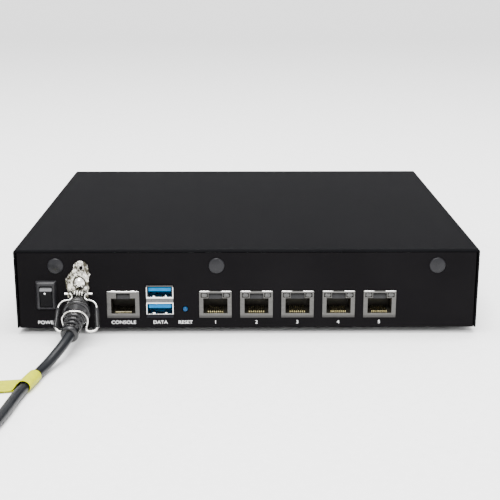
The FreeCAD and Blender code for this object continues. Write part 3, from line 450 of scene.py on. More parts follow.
# %% [markdown]
# ## Painted steel
#
# The case is folded steel with a satin black powder coat.  Powder melts into a skin that is
# very slightly rippled, like orange peel, with a finer grain on top.  Both are noise: one bump
# about every 0.6 mm and one every 0.12 mm.  A slow cloud in the colour keeps large faces alive.

# %% Powder coat
def powder_coat(name, dark, light, rough):
    """Satin powder coat: orange peel, fine grain, and a faint cloud between two greys."""
    coat = Finish(name, Specular_IOR_Level=0.012)
    peel = coat.noise(1.6, detail=2)
    grain = coat.noise(8.0, detail=2)
    cloud = coat.noise(0.03, detail=3)
    coat.feed("Base Color", coat.blend(coat.ramp(cloud * 0.75 + grain * 0.25, 0.3, 0.7),
                                       dark, light))
    coat.feed("Roughness", rough + 0.16 * (grain - 0.5) + 0.08 * (cloud - 0.5))
    coat.feed("Normal", coat.bump(grain, 0.006, 0.5, coat.bump(peel, 0.02, 0.35)))
    return coat


cover_coat = powder_coat("cover_coat", (0.0032, 0.0032, 0.0037), (0.0044, 0.0044, 0.0050), 0.66)
panel_coat = powder_coat("panel_coat", (0.0040, 0.0037, 0.0041), (0.0054, 0.0050, 0.0055), 0.58)
print("painted:", cover_coat.material.name, panel_coat.material.name)

# %% [markdown]
# ## Metals
#
# Three metals show.  The jack shields are tin-plated sheet, satin with rolling marks that run
# across.  The retainer and its bail are bright nickel, which is smooth but never quite even; the
# retainer's dark patches are painted reflections.  The contacts are gold flashed.

# %% Metals
def plated(name, dark, light, rough, streak=(1, 1, 1), depth=0.004, spread=0.15):
    """Plated metal: two tones, streaky roughness and a shallow relief along the streaks."""
    metal = Finish(name, Metallic=1.0)
    streaks = metal.noise(2.5, detail=4, stretch=streak)
    stain = metal.noise(0.35, detail=4)
    tone = metal.ramp(streaks * 0.5 + stain * 0.5, 0.5 - spread, 0.5 + spread)
    metal.feed("Base Color", metal.blend(tone, dark, light))
    metal.feed("Roughness", rough + 0.20 * (streaks - 0.5) + 0.12 * (stain - 0.5))
    metal.feed("Normal", metal.bump(streaks, depth, 0.6))
    return metal


shield_tin = plated("shield_tin", (0.040, 0.0395, 0.038), (0.105, 0.103, 0.098), 0.34,
                    (0.2, 1, 2.0))
# Near-white tin: a painted highlight, used on the rolled jack edges and the retainer screw.
highlight_tin = plated("highlight_tin", (0.80, 0.79, 0.76), (0.95, 0.94, 0.91), 0.22, (0.2, 1, 1))
usb_steel = plated("usb_steel", (0.26, 0.26, 0.255), (0.50, 0.49, 0.47), 0.24, (0.2, 1, 1.5))
bright_nickel = plated("bright_nickel", (0.07, 0.065, 0.055), (0.72, 0.70, 0.63), 0.20,
                       (1, 1, 0.35), 0.03, 0.10)
wire_nickel = plated("wire_nickel", (0.42, 0.41, 0.38), (0.88, 0.87, 0.83), 0.16, depth=0.01)
gold_flash = plated("gold_flash", (0.46, 0.38, 0.16), (0.74, 0.64, 0.34), 0.26)
dull_gold = plated("dull_gold", (0.11, 0.095, 0.055), (0.30, 0.27, 0.17), 0.26)
black_oxide = plated("black_oxide", (0.01, 0.01, 0.01), (0.03, 0.03, 0.03), 0.42)
sink_metal = plated("sink_metal", (0.42, 0.43, 0.45), (0.58, 0.59, 0.60), 0.38, (1, 0.05, 1))
print("metals made")

# %% [markdown]
# ## Plastics, rubber and film
#
# Moulded parts copy the texture of their mould, so the same recipe serves them all: a spark
# grain whose size and depth change from part to part, and a slight mottling of the colour.

# %% Plastics
def moulded(name, dark, light, rough, grain_size=4.0, depth=0.01, **constants):
    """Moulded plastic or rubber: spark grain in the relief and roughness, mottled colour."""
    plastic = Finish(name, **constants)
    grain = plastic.noise(grain_size, detail=3)
    mottle = plastic.noise(0.25, detail=3)
    plastic.feed("Base Color", plastic.blend(plastic.ramp(mottle * 0.7 + grain * 0.3, 0.35, 0.65),
                                             dark, light))
    plastic.feed("Roughness", rough + 0.14 * (grain - 0.5) + 0.10 * (mottle - 0.5))
    plastic.feed("Normal", plastic.bump(grain, depth, 0.5))
    return plastic


black_moulding = moulded("black_moulding", (0.003, 0.003, 0.003), (0.006, 0.006, 0.006), 0.42,
                         Specular_IOR_Level=0.15)
# A lighter copy of the black plastic: painted light for the shaded insides of the jacks.
insert_black_painted_light = moulded("insert_black_painted_light", (0.016, 0.014, 0.010), (0.028, 0.025, 0.019), 0.40,
                       Specular_IOR_Level=0.2)
switch_black = moulded("switch_black", (0.0095, 0.0092, 0.0105), (0.014, 0.0137, 0.0155), 0.34,
                       5.0, Specular_IOR_Level=0.25)
plug_grey = moulded("plug_grey", (0.0045, 0.0045, 0.0058), (0.0080, 0.0080, 0.0096), 0.30, 3.0,
                    0.03, Specular_IOR_Level=0.20)
boot_rubber = moulded("boot_rubber", (0.0030, 0.0030, 0.0035), (0.006, 0.006, 0.007), 0.24, 3.0,
                      0.010, Specular_IOR_Level=0.42)
jacket = moulded("jacket", (0.0026, 0.0031, 0.0042), (0.0052, 0.0060, 0.0078), 0.34, 2.0, 0.012,
                 Specular_IOR_Level=0.16)
sleeve_grey = moulded("sleeve_grey", (0.0035, 0.0035, 0.004), (0.016, 0.016, 0.0165), 0.22, 1.6,
                      0.02, Specular_IOR_Level=0.22)
# Grey latch ramps: painted light on black plastic in the shaded jack mouths.
latch_grey_painted_light = moulded("latch_grey_painted_light", (0.014, 0.014, 0.0145), (0.024, 0.024, 0.025), 0.42,
                     Specular_IOR_Level=0.2)
foot_rubber = moulded("foot_rubber", (0.008, 0.008, 0.008), (0.016, 0.016, 0.016), 0.72, 3.0, 0.03)
adapter_black = moulded("adapter_black", (0.0035, 0.0035, 0.0042), (0.0065, 0.0065, 0.0073), 0.50,
                        2.2, 0.03, Specular_IOR_Level=0.09)
lens_milk = moulded("lens_milk", (0.022, 0.022, 0.021), (0.050, 0.050, 0.047), 0.26, 2.0, 0.004)
port_blue = moulded("port_blue", (0.000, 0.105, 0.27), (0.000, 0.145, 0.34), 0.40, 3.0, 0.004,
                    Specular_IOR_Level=0.05)
button_blue = moulded("button_blue", (0.000, 0.030, 0.090), (0.000, 0.045, 0.13), 0.30, 3.0, 0.004,
                      Specular_IOR_Level=0.2)
tag_film = moulded("tag_film", (0.32, 0.33, 0.000), (0.42, 0.43, 0.000), 0.50, 1.2, 0.03,
                   Specular_IOR_Level=0.12)
wire_red = moulded("wire_red", (0.30, 0.015, 0.012), (0.42, 0.03, 0.02), 0.45)
ink = moulded("ink", (0.74, 0.74, 0.74), (0.86, 0.86, 0.86), 0.55, 6.0, 0.004)
chip_epoxy = moulded("chip_epoxy", (0.012, 0.012, 0.012), (0.024, 0.024, 0.024), 0.62, 5.0, 0.01)
tie_nylon = moulded("tie_nylon", (0.005, 0.005, 0.006), (0.010, 0.010, 0.011), 0.80, 1.5, 0.08,
                    Specular_IOR_Level=0.15)
print("plastics made")

# %% [markdown]
# The circuit board is glass cloth under green lacquer.  Copper tracks show through as lighter
# lines, which a Brick texture imitates well at this size, and pads are small Voronoi dots.

# %% Circuit board
board_mask = Finish("board_mask", Coat_Weight=0.4, Coat_Roughness=0.15)
tracks = board_mask.node("ShaderNodeTexBrick", {"offset": 0.37, "squash": 0.6},
                         {"Vector": board_mask.stretched((420, 260, 420)), "Scale": 1.0,
                          "Mortar Size": 0.055, "Color1": (0, 0, 0, 1), "Color2": (0, 0, 0, 1),
                          "Mortar": (1, 1, 1, 1)}, "Fac")
dots = board_mask.ramp(board_mask.node("ShaderNodeTexVoronoi", {},
                                       {"Vector": board_mask.stretched((300, 300, 300)),
                                        "Scale": 1.0}, "Distance"), 0.16, 0.12)
lacquer = board_mask.blend(tracks * 0.6, (0.004, 0.040, 0.016), (0.010, 0.085, 0.030))
board_mask.feed("Base Color", board_mask.blend(dots, lacquer, (0.55, 0.50, 0.36)))
board_mask.feed("Roughness", 0.28 + 0.2 * board_mask.noise(1.0))
board_mask.feed("Normal", board_mask.bump(tracks, 0.03, 0.5))
print("board lacquer made")

# %% [markdown]
# ## Case and inner pieces
#
# The sheet-metal pieces keep the frame's shape, with softened edges.  The pieces inside the
# case only show through the vents, so they keep the frame's own meshes and get a finish.

# %% Case
cover = softened("top_cover", 0.22, "case_paint")
port_panel = softened("port_panel", 0.12, "case_paint")
front_panel = softened("front_panel", 0.15, "case_paint")
chassis = softened("base_chassis", 0.15, "case_paint")
dress(cover_coat, cover, front_panel)
dress(panel_coat, port_panel, chassis)
feet = softened("rubber_feet", 0.4, "foot_rubber", segments=3)
dress(foot_rubber, feet)
dress(black_oxide, "cover_screws")
dress(board_mask, "main_board", "memory_module", "storage_module", "light_board")
dress(chip_epoxy, "processor", "board_chips", "board_passives")
dress(sink_metal, "heat_sink", "board_standoffs", "board_screws", "coin_cell")
dress(black_moulding, "memory_socket", "cell_holder", "wire_connector", "reset_switch_body")
dress(gold_flash, "switch_terminals", "dc_jack_contacts")
dress(wire_red, "switch_wires")
dress(lens_milk, "light_pipes", "status_leds")
print("case dressed")

# %% [markdown]
# ## Network and console jacks
#
# A shielded jack is a black moulding wrapped in thin tinned sheet.  The sheet is folded back
# round the mouth, so its rim is rounded.  A milky lens stands in each upper corner of a network
# jack: a superellipsoid, whose one power says how square it is.

# %% Jacks
JACKS = [f"lan_shield_{number}" for number in range(1, 6)]
LENS_ASIDE = 5.55
LENS_HALF_WIDTH = 1.68
shields = [softened(node, 0.16, "shield_metal", segments=3) for node in JACKS]
shields.append(softened("console_shield", 0.16, "shield_metal", segments=3))
# Painted shade: the lower rim of each shield is darkened towards near black.
lower_rim_shade = shield_tin.band(8.0, 9.9, 0.5) * 0.62
shield_tone = shield_tin.blend(shield_tin.noise(2.0, detail=4, stretch=(0.2, 1, 2.0)),
                               (0.045, 0.0445, 0.043), (0.115, 0.112, 0.107))
shield_tin.feed("Base Color", shield_tin.blend(lower_rim_shade, shield_tone, (0.022, 0.021, 0.021)))
dress(shield_tin, *shields)
lan_inserts = softened("lan_inserts", 0.1, "black_plastic")
console_insert = softened("console_insert", 0.1, "black_plastic")
dress(insert_black_painted_light, lan_inserts, console_insert)
dress(gold_flash, "lan_contacts")
dress(dull_gold, "console_contacts", "usb_contacts")


def pillow(centre, half, power=4.0, rows=12, columns=32):
    """A rounded block: a superellipsoid, |x/a|^n + |y/b|^n + |z/c|^n = 1, in metres."""
    def bulge(value):
        return np.sign(value) * np.abs(value) ** (2 / power)
    down = np.linspace(-math.pi / 2, math.pi / 2, rows)[1:-1, None]
    around = np.linspace(0, math.tau, columns, endpoint=False)[None, :]
    unit = np.stack([bulge(np.cos(down)) * bulge(np.cos(around)),
                     bulge(np.sin(down)) * np.ones_like(around),
                     bulge(np.cos(down)) * bulge(np.sin(around))], axis=-1)
    return np.asarray(centre) + unit * np.asarray(half)


def lens_parts():
    """The ten indicator lenses, two in each network jack's upper corners."""
    parts = []
    low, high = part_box("lan_led_lenses")
    for node in JACKS:
        centre, _ = middle_of(node)
        for side in (-1, 1):
            middle = (centre[0] + side * LENS_ASIDE * MM, (low.y + high.y) / 2,
                      (low.z + high.z) / 2)
            half = (LENS_HALF_WIDTH * MM, (high.y - low.y) / 2, (high.z - low.z) / 2)
            parts.append(tube_parts(pillow(middle, half)[:, ::-1]))
    return parts


lenses = add_mesh("jack_lenses", *joined(lens_parts()))
finish_piece(lenses, "appliance", "lens_plastic", "lan_led_lenses")
dress(lens_milk, lenses)
print("lens faces:", len(lenses.data.polygons))

# %% [markdown]
# Two more things show at a jack's mouth.  The sheet's upper edge is rolled over: in two lengths
# beside the latch slot on a network jack, and in one with two raised tabs on the console jack.
# The latch slot is filled to most of its height by a moulded ramp that lifts the latch.

# %% Rolled edges and latch ramps
NETWORK_EDGES = ((-8.05, -2.7, 0.0), (2.6, 8.05, 0.0))
CONSOLE_EDGES = ((-8.05, 8.05, 0.0), (-5.9, -4.1, 0.3), (4.1, 5.9, 0.3))
EDGE_RADIUS = 0.30
RAMP_OUTLINE = [(-0.9, 18.2), (-0.9, 18.5), (-1.6, 20.5), (-3.5, 20.7), (-3.5, 18.2)]
RAMP_HALF_WIDTH = 3.3


def jack_trim():
    """Rolled upper edges, each a (left, right, rise) in mm, and latch ramps of the six jacks."""
    edges, ramps = [], []
    for node in JACKS + ["console_shield"]:
        low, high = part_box(node)
        middle = (low.x + high.x) / 2 / MM
        top = high.z / MM
        for left, right, rise in NETWORK_EDGES if node in JACKS else CONSOLE_EDGES:
            centre = place(middle + (left + right) / 2, 0.42, top - 0.12 + rise)
            half = ((right - left) / 2 * MM, EDGE_RADIUS * MM, EDGE_RADIUS * MM)
            edges.append(tube_parts(pillow(centre, half, 3.0, 10, 24)))
        ramps.append(prism_parts(RAMP_OUTLINE, middle - RAMP_HALF_WIDTH,
                                 middle + RAMP_HALF_WIDTH))
    return edges, ramps


edge_parts, ramp_parts = jack_trim()
rolled = add_mesh("rolled_edges", *joined(edge_parts), smooth_angle=60)
finish_piece(rolled, "appliance", "shield_metal")
# The rolled edges are painted near white: a painted highlight along the edges that face the
# overhead light.
dress(highlight_tin, rolled)
latches = soften_edges(add_mesh("latch_ramps", *joined(ramp_parts)), 0.15)
finish_piece(latches, "appliance", "black_plastic")
dress(latch_grey_painted_light, latches)
print("rolled edges:", len(edge_parts))

# %% [markdown]
# ## USB stack
#
# Two ports share one steel shell.  Each has a bright blue tongue high in its mouth.  The sheet
# above, between and below the ports is pressed back, and painted shade makes it near black there,
# darker than the rolled rims.

# %% USB stack
usb_shell = softened("usb_shell", 0.22, "shield_metal", segments=3)
# Painted shade: the pressed-back bands above, between and below the ports are painted near black.
pressed_shade = (usb_steel.band(8.0, 10.7) + usb_steel.band(16.85, 18.95) * 0.88
           + usb_steel.band(24.85, 26.5) * 0.93)
rolled_tone = usb_steel.blend(usb_steel.noise(2.5, stretch=(0.2, 1, 1.5)), (0.42, 0.42, 0.41),
                              (0.82, 0.81, 0.79))
usb_steel.feed("Base Color", usb_steel.blend(pressed_shade, rolled_tone, (0.010, 0.010, 0.012)))
dress(usb_steel, usb_shell)
usb_tongues = softened("usb_tongues", 0.12, "port_blue")
dress(port_blue, usb_tongues)
print("usb stack dressed")

# %% [markdown]
# ## Spare antenna holes
#
# A snap-in plug closes each spare hole.  It is a shallow dome with a soft rim, so a lathe
# profile is the natural way to make it: a flat arc, a quarter round at the rim, and the back.

# %% Antenna hole plugs
def plug_profile(radius=4.0, proud=1.0, fall=0.38, rim=0.62):
    """(height, radius) of a domed plug: an arc that falls a little, then a rounded rim."""
    inner = radius - rim
    across = np.linspace(0.02, inner, 8)
    dome = proud - fall * (across / inner) ** 2
    turn = np.linspace(0.15, math.pi / 2, 6)
    rim_up = (proud - fall - rim) + rim * np.cos(turn)
    rim_out = inner + rim * np.sin(turn)
    heights = np.concatenate([dome, rim_up, [0.0]])
    radii = np.concatenate([across, rim_out, [radius]])
    return np.stack([heights, radii], axis=-1)[::-1]


ANTENNA_HOLES = (-94.8, -15.1, 94.5)
ANTENNA_HEIGHT = 35.8
plug_parts = [tube_parts(lathe_rings(plug_profile(), place(across, 0, ANTENNA_HEIGHT), (0, -1, 0)))
              for across in ANTENNA_HOLES]
blanks = add_mesh("antenna_plugs", *joined(plug_parts), smooth_angle=60)
finish_piece(blanks, "appliance", "blank_plastic", "antenna_hole_plugs")
dress(plug_grey, blanks)
print("antenna plugs:", len(plug_parts))

# %% [markdown]
# ## Power switch
#
# The bezel is one moulding: a flange whose four sides slope in to a flat front, a blind well
# for the rocker and a barrel behind the panel.  Stacked rounded rectangles describe it all.

# %% Switch bezel
SWITCH_ACROSS = -99.9
BEZEL_RINGS = [(-15.0, 4.45, 6.60, 20.8), (-0.06, 4.45, 6.60, 20.8), (0.0, 5.20, 7.50, 20.8),
               (0.35, 5.20, 7.50, 20.8), (1.85, 4.35, 6.45, 20.8), (2.0, 4.15, 6.25, 20.8),
               (2.0, 3.35, 5.75, 20.2), (1.8, 3.17, 5.57, 20.2), (-5.9, 3.15, 5.55, 20.2)]


def rounded_rectangle(half_width, half_height, corner, steps=5):
    """Points (across, up) round a rectangle whose four corners are quarter circles."""
    turn = np.linspace(0, math.pi / 2, steps)
    quarter = corner * np.stack([np.cos(turn), np.sin(turn)], -1)
    points = []
    for number, (side, top) in enumerate(((1, 1), (-1, 1), (-1, -1), (1, -1))):
        spin = number * math.pi / 2
        arc = quarter @ np.array([[math.cos(spin), math.sin(spin)],
                                  [-math.sin(spin), math.cos(spin)]])
        points.append(arc + [side * (half_width - corner), top * (half_height - corner)])
    return np.concatenate(points)


def stacked(rings, across, corner):
    """Rings of (out, half width, half height, centre height) in mm as points in metres."""
    stack = []
    for out, half_width, half_height, height in rings:
        flat = rounded_rectangle(half_width, half_height, corner)
        stack.append(np.insert(flat + (across, height), 1, out, axis=1))
    return placed(stack)


bezel = add_mesh("switch_bezel", *tube_parts(stacked(BEZEL_RINGS, SWITCH_ACROSS, 0.5)))
finish_piece(bezel, "appliance", "black_plastic", "switch_housing")
dress(switch_black, bezel)
print("bezel faces:", len(bezel.data.polygons))

# %% [markdown]
# The rocker's front is a shallow V whose upper end slopes back.  That end faces the overhead
# light, and its light grey is a painted highlight; a white dot stands below it.  The outline is
# drawn upright and then leaned about the pivot.

# %% Rocker
ROCKER_LEAN = math.radians(10)
PIVOT = (-0.2, 20.2)
ROCKER_OUTLINE = [(2.6, -4.9), (2.15, -2.4), (1.9, 0.0), (2.15, 1.6), (2.5, 3.2), (1.15, 4.85),
                  (0.0, 4.8), (-2.4, 3.3), (-2.4, -3.3), (0.0, -4.8), (1.6, -4.95)]


def leaning(out, up):
    """A point of the rocker, out and up from its pivot, leaning as it does when it is off."""
    return (PIVOT[0] + out * math.cos(ROCKER_LEAN) + up * math.sin(ROCKER_LEAN),
            PIVOT[1] + up * math.cos(ROCKER_LEAN) - out * math.sin(ROCKER_LEAN))


ROCKER_HALF_WIDTH = 3.0
outline = [leaning(out, up) for out, up in ROCKER_OUTLINE]
rocker = add_mesh("rocker_finished", *prism_parts(outline, SWITCH_ACROSS - ROCKER_HALF_WIDTH,
                                                  SWITCH_ACROSS + ROCKER_HALF_WIDTH),
                  smooth_angle=28)
soften_edges(rocker, 0.22, segments=3, angle=28)
finish_piece(rocker, "rocker", "black_plastic", "rocker")
rocker_lit_end = moulded("rocker_lit_end", (0.004, 0.004, 0.0045), (0.007, 0.007, 0.0075), 0.40, 5.0,
                   0.004, Specular_IOR_Level=0.04)
# Painted highlight: the up-facing end band is painted light grey.
rocker_lit_end.feed("Base Color", rocker_lit_end.blend(rocker_lit_end.band(23.45, 26.3), (0.0045, 0.0045, 0.005),
                                           (0.13, 0.13, 0.135)))
dress(rocker_lit_end, rocker)

DOT_PROFILE = [(-0.2, 0.5), (0.08, 0.5), (0.12, 0.42), (0.13, 0.02)]
dot_place = place(SWITCH_ACROSS - 0.4, *leaning(2.39, 2.55))
dot_axis = (0, -math.cos(ROCKER_LEAN), -math.sin(ROCKER_LEAN))
dot = add_mesh("rocker_dot", *tube_parts(lathe_rings(DOT_PROFILE, dot_place, dot_axis, 24)))
finish_piece(dot, "rocker", "black_plastic")
dress(ink, dot)
print("rocker made")

# %% [markdown]
# The reset button is a small blue dome set almost flush with the panel.

# %% Reset button
RESET_PROFILE = [(-4.0, 1.15), (0.1, 1.2), (0.32, 1.12), (0.45, 0.85), (0.5, 0.45), (0.5, 0.02)]
RESET_ACROSS = -30.9
reset_rings = lathe_rings(RESET_PROFILE, place(RESET_ACROSS, 0, 13.2), (0, -1, 0), 32)
button = add_mesh("reset_dome", *tube_parts(reset_rings), smooth_angle=60)
finish_piece(button, "reset_button", "button_blue", "reset_button")
dress(button_blue, button)
print("controls dressed")

# %% [markdown]
# ## DC plug
#
# The plug is moulded in one shot: a short nose, a grip of growing rings, and a slimmer ribbed
# sleeve that lets the lead bend.  Its profile is carried along a path that droops and turns a
# little, as a loaded sleeve does.

# %% DC plug
BOOT_PATH = [(-83.8, 0.3, 16.2), (-83.8, 4.0, 15.9), (-83.8, 9.0, 14.9), (-83.8, 15.0, 13.5),
             (-83.9, 22.0, 12.0), (-84.4, 29.9, 10.2)]


def rounded_ring(start, radius, width, groove):
    """(distance, radius) points of one moulded ring whose two shoulders are rounded."""
    return [(start, radius - groove), (start + 0.12, radius - 0.25), (start + 0.38, radius),
            (start + width - 0.38, radius), (start + width - 0.12, radius - 0.25),
            (start + width, radius - groove)]


RIB_START = 13.8
RIB_PITCH = 3.05
RIB_RADIUS = 4.85
RIB_TAPER = 0.16
RIB_SLOPE = 0.0525


def boot_profile():
    """(distance, radius) along the plug: nose, four growing rings, ribbed sleeve and collar."""
    steps = [(0.0, 3.9), (0.2, 4.15), (0.7, 4.2)]
    for number, radius in enumerate((4.7, 5.6, 6.3, 6.7)):
        steps += rounded_ring(0.9 + 2.6 * number, radius, 1.6, 1.15)
    steps += [(10.6, 5.6), (12.2, 3.55), (13.5, 3.55)]
    for number in range(4):
        steps += rounded_ring(RIB_START + RIB_PITCH * number, RIB_RADIUS - RIB_TAPER * number,
                              1.85, 1.35)
    steps += [(25.9, 3.2), (26.2, 4.0), (26.5, 4.3), (29.4, 4.35), (30.0, 4.1), (30.3, 3.4)]
    return np.array(steps)


def web_factor(profile, columns=64):
    """How far each point of the skin moves out so that thin webs join the sleeve's ribs."""
    angle = np.linspace(0, math.tau, columns, endpoint=False)[None, :]
    distance, radius = profile[:, :1], profile[:, 1:]
    in_sleeve = (distance > 15.4) & (distance < 26.0)
    rib = RIB_RADIUS - RIB_SLOPE * (distance - RIB_START)
    shift = np.where(np.floor((distance - 12.7) / RIB_PITCH) % 2 == 0, 0.30, -0.30)
    web = np.clip((np.abs(np.cos(angle + shift)) - 0.86) / 0.06, 0, 1)
    groove = in_sleeve & (radius < rib - 0.1)
    return np.where(groove, 1 + web * (0.94 * rib / radius - 1), 1.0)


def along_path(path, distances):
    """Points of a path (n, 3) at given distances from its start."""
    steps = np.linalg.norm(np.diff(path, axis=0), axis=1)
    travelled = np.concatenate([[0], np.cumsum(steps)])
    return np.stack([np.interp(distances, travelled, path[:, axis]) for axis in range(3)], -1)


boot_line = smooth_curve(placed(BOOT_PATH), 200)
profile = boot_profile()
centres = along_path(boot_line, profile[:, 0] * MM)
boot_rings = swept(centres, circle(1.0, 64), profile[:, 1] * MM)
webs = web_factor(profile)
boot_rings = centres[:, None, :] + (boot_rings - centres[:, None, :]) * webs[:, :, None]
boot = add_mesh("plug_and_boot", *tube_parts(boot_rings), smooth_angle=50)
finish_piece(boot, "appliance", "plug_plastic", "dc_plug_body", "dc_plug_boot")
dress(boot_rubber, boot)
dress(bright_nickel, "dc_plug_barrel")
jack_block = softened("dc_jack", 0.2, "black_plastic")
dress(black_moulding, jack_block)
print("boot rings:", len(profile))

# %% [markdown]
# ## Retainer
#
# A bent wire bail hangs from two ears of a plated bracket and closes behind the plug's grip, so
# the plug can't be pulled out by its lead.  Each side of the bail wears a dark plastic sleeve.
# A dark ring painted into the bracket's colour round the screw's head is a painted shadow line
# where the head meets the bracket.

# %% Retainer
bracket = softened("retainer_bracket", 0.16, "nickel", segments=3)
screw = softened("retainer_screw", 0.12, "nickel", segments=2)
RETAINER_ACROSS = -83.2
SCREW_AT = place(RETAINER_ACROSS, 0.0, 27.3)


def screw_shadow_ring(finish, inner, outer):
    """A painted shadow ring: 1 between two distances in mm from the retainer screw's axis, with
    soft edges.
    """
    flat = finish.node("ShaderNodeVectorMath", {"operation": "SUBTRACT"},
                       {0: Mask(finish, finish.coordinates), 1: SCREW_AT})
    turned = finish.node("ShaderNodeVectorMath", {"operation": "MULTIPLY"},
                         {0: flat, 1: (1.0, 0.0, 1.0)})
    far = finish.node("ShaderNodeVectorMath", {"operation": "LENGTH"}, {0: turned}, 1)
    enters = finish.ramp(far, (inner - 0.12) * MM, (inner + 0.12) * MM)
    return enters - finish.ramp(far, (outer - 0.2) * MM, (outer + 0.2) * MM)


bracket_nickel = Finish("bracket_nickel", Metallic=1.0)
dents = bracket_nickel.noise(0.30, detail=3, roughness=0.6)
scratches = bracket_nickel.noise(1.5, detail=4, stretch=(1, 1, 0.5))
# Painted reflections: noise splits the bracket's colour into near-black and near-white patches.
painted_reflection_mask = bracket_nickel.ramp(dents * 0.65 + scratches * 0.35, 0.45, 0.57)
plating_with_painted_reflections = bracket_nickel.blend(painted_reflection_mask, (0.06, 0.055, 0.043), (0.92, 0.90, 0.84))
# Painted shadow: a near-black ring in the bracket's colour round the screw's head.
bracket_nickel.feed("Base Color", bracket_nickel.blend(screw_shadow_ring(bracket_nickel, 2.65, 3.35),
                                                       plating_with_painted_reflections, (0.03, 0.028, 0.024)))
bracket_nickel.feed("Roughness", 0.16 + 0.22 * scratches)
bracket_nickel.feed("Normal", bracket_nickel.bump(scratches, 0.05, 0.6,
                                                  bracket_nickel.bump(dents, 0.35, 0.5)))
dress(bracket_nickel, bracket)
# The screw head gets the same near-white tin, a painted highlight that sets it off from the
# bracket.
dress(highlight_tin, screw)
dress(wire_nickel, "retainer_bail")

SPRING_TURNS = 3
SPRING_RADIUS = 1.3
SPRING_HALF = 1.85
PIVOT_OUT = 5.0
PIVOT_UP = 23.0


def spring_rings():
    """An open torsion spring about the pivot, whose two legs lie back along the bracket."""
    turn = np.linspace(0, math.tau * SPRING_TURNS, 40 * SPRING_TURNS)
    left, right = RETAINER_ACROSS - SPRING_HALF, RETAINER_ACROSS + SPRING_HALF
    coil = np.stack([np.linspace(left, right, len(turn)), PIVOT_OUT + SPRING_RADIUS * np.cos(turn),
                     PIVOT_UP + SPRING_RADIUS * np.sin(turn)], -1)
    first_leg = np.array([[left, 1.6, 24.2], [left, 3.4, 24.2], [left, 5.2, 24.0]])
    last_leg = np.array([coil[-1] + (0, -0.8, 0.6), [right, 3.4, 24.2], [right, 1.6, 24.2]])
    path = np.concatenate([smooth_curve(first_leg, 12)[:-2], coil,
                           smooth_curve(last_leg, 12)[2:]])
    return swept(placed(path), circle(0.34 * MM, 10))


SLEEVE_SIDE = [(9.42, 9.6, 17.2), (9.75, 11.8, 14.0), (10.1, 14.1, 10.4), (10.25, 15.1, 8.9)]


def sleeve_parts():
    """A dark sleeve over each side of the bail, slightly belled where it starts and ends."""
    swell = 1.16 * MM * np.array([0.80, 0.97] + [1.0] * 10 + [0.97, 0.80])
    parts = []
    for side in (-1, 1):
        line = placed(np.array(SLEEVE_SIDE) * (side, 1, 1) + (RETAINER_ACROSS, 0, 0))
        parts.append(tube_parts(swept(smooth_curve(line, len(swell)), circle(1.0, 20), swell)))
    return parts


sleeves = add_mesh("bail_sleeves", *joined(sleeve_parts()), smooth_angle=60)
finish_piece(sleeves, "retainer_bail", "plug_plastic")
dress(sleeve_grey, sleeves)
spring = add_mesh("torsion_spring", *tube_parts(spring_rings()), smooth_angle=60)
finish_piece(spring, "appliance", "nickel", "retainer_spring")
dress(wire_nickel, spring)
print("retainer dressed")

# %% [markdown]
# ## Lettering
#
# The panel is silk-screened with plain words, a little wider than the font draws them.  Text
# objects are turned into meshes before they are placed, and they stand a hair proud of the
# paint, as ink does.

# %% Lettering
LETTERS = [("POWER", -105.0, "LEFT"), ("DC IN", -83.8, "CENTER"), ("CONSOLE", -61.9, "CENTER"),
           ("DATA", -43.5, "CENTER"), ("RESET", RESET_ACROSS, "CENTER")]
LETTERS += [(str(number + 1), middle_of(node)[0][0] / MM, "CENTER")
            for number, node in enumerate(JACKS)]
CAP_HEIGHT = 1.78
WIDENING = 1.10
INK_FILM = 0.03


def lettering(words, across, align):
    """Printed words as a mesh on the port panel, their feet at a common baseline."""
    text = bpy.data.curves.new(f"print_{words.replace(' ', '_')}", "FONT")
    text.body = words
    text.size = CAP_HEIGHT * MM / 0.72
    text.align_x = align
    text.extrude = INK_FILM * MM / 2
    text.space_character = 1.0
    holder = bpy.data.objects.new(text.name, text)
    bpy.context.collection.objects.link(holder)
    bpy.context.view_layer.update()
    mesh = bpy.data.meshes.new_from_object(holder.evaluated_get(
        bpy.context.evaluated_depsgraph_get()))
    bpy.data.objects.remove(holder)
    flat = np.empty(len(mesh.vertices) * 3)
    mesh.vertices.foreach_get("co", flat)
    flat = flat.reshape(-1, 3)
    foot = np.array(place(across, INK_FILM / 2, 5.45))
    standing = np.stack([WIDENING * flat[:, 0], -flat[:, 2], flat[:, 1]], axis=-1) + foot
    mesh.vertices.foreach_set("co", standing.ravel())
    piece = bpy.data.objects.new(text.name, mesh)
    bpy.context.collection.objects.link(piece)
    return piece


for words, across, align in LETTERS:
    printed = lettering(words, across, align)
    finish_piece(printed, "appliance", "case_paint")
    dress(ink, printed)
print("words printed:", len(LETTERS))

# %% [markdown]
# ## Flag label on the lead
#
# A strip of bright film is wrapped round the lead and stuck to itself.  Its section is a loop
# round the cord that runs off into a flat tail, and the tail droops to the desk.

# %% Flag label
TAG_WIDTH = 13.0
TAG_TAIL = 33.0
TAG_SKEW = 0.42


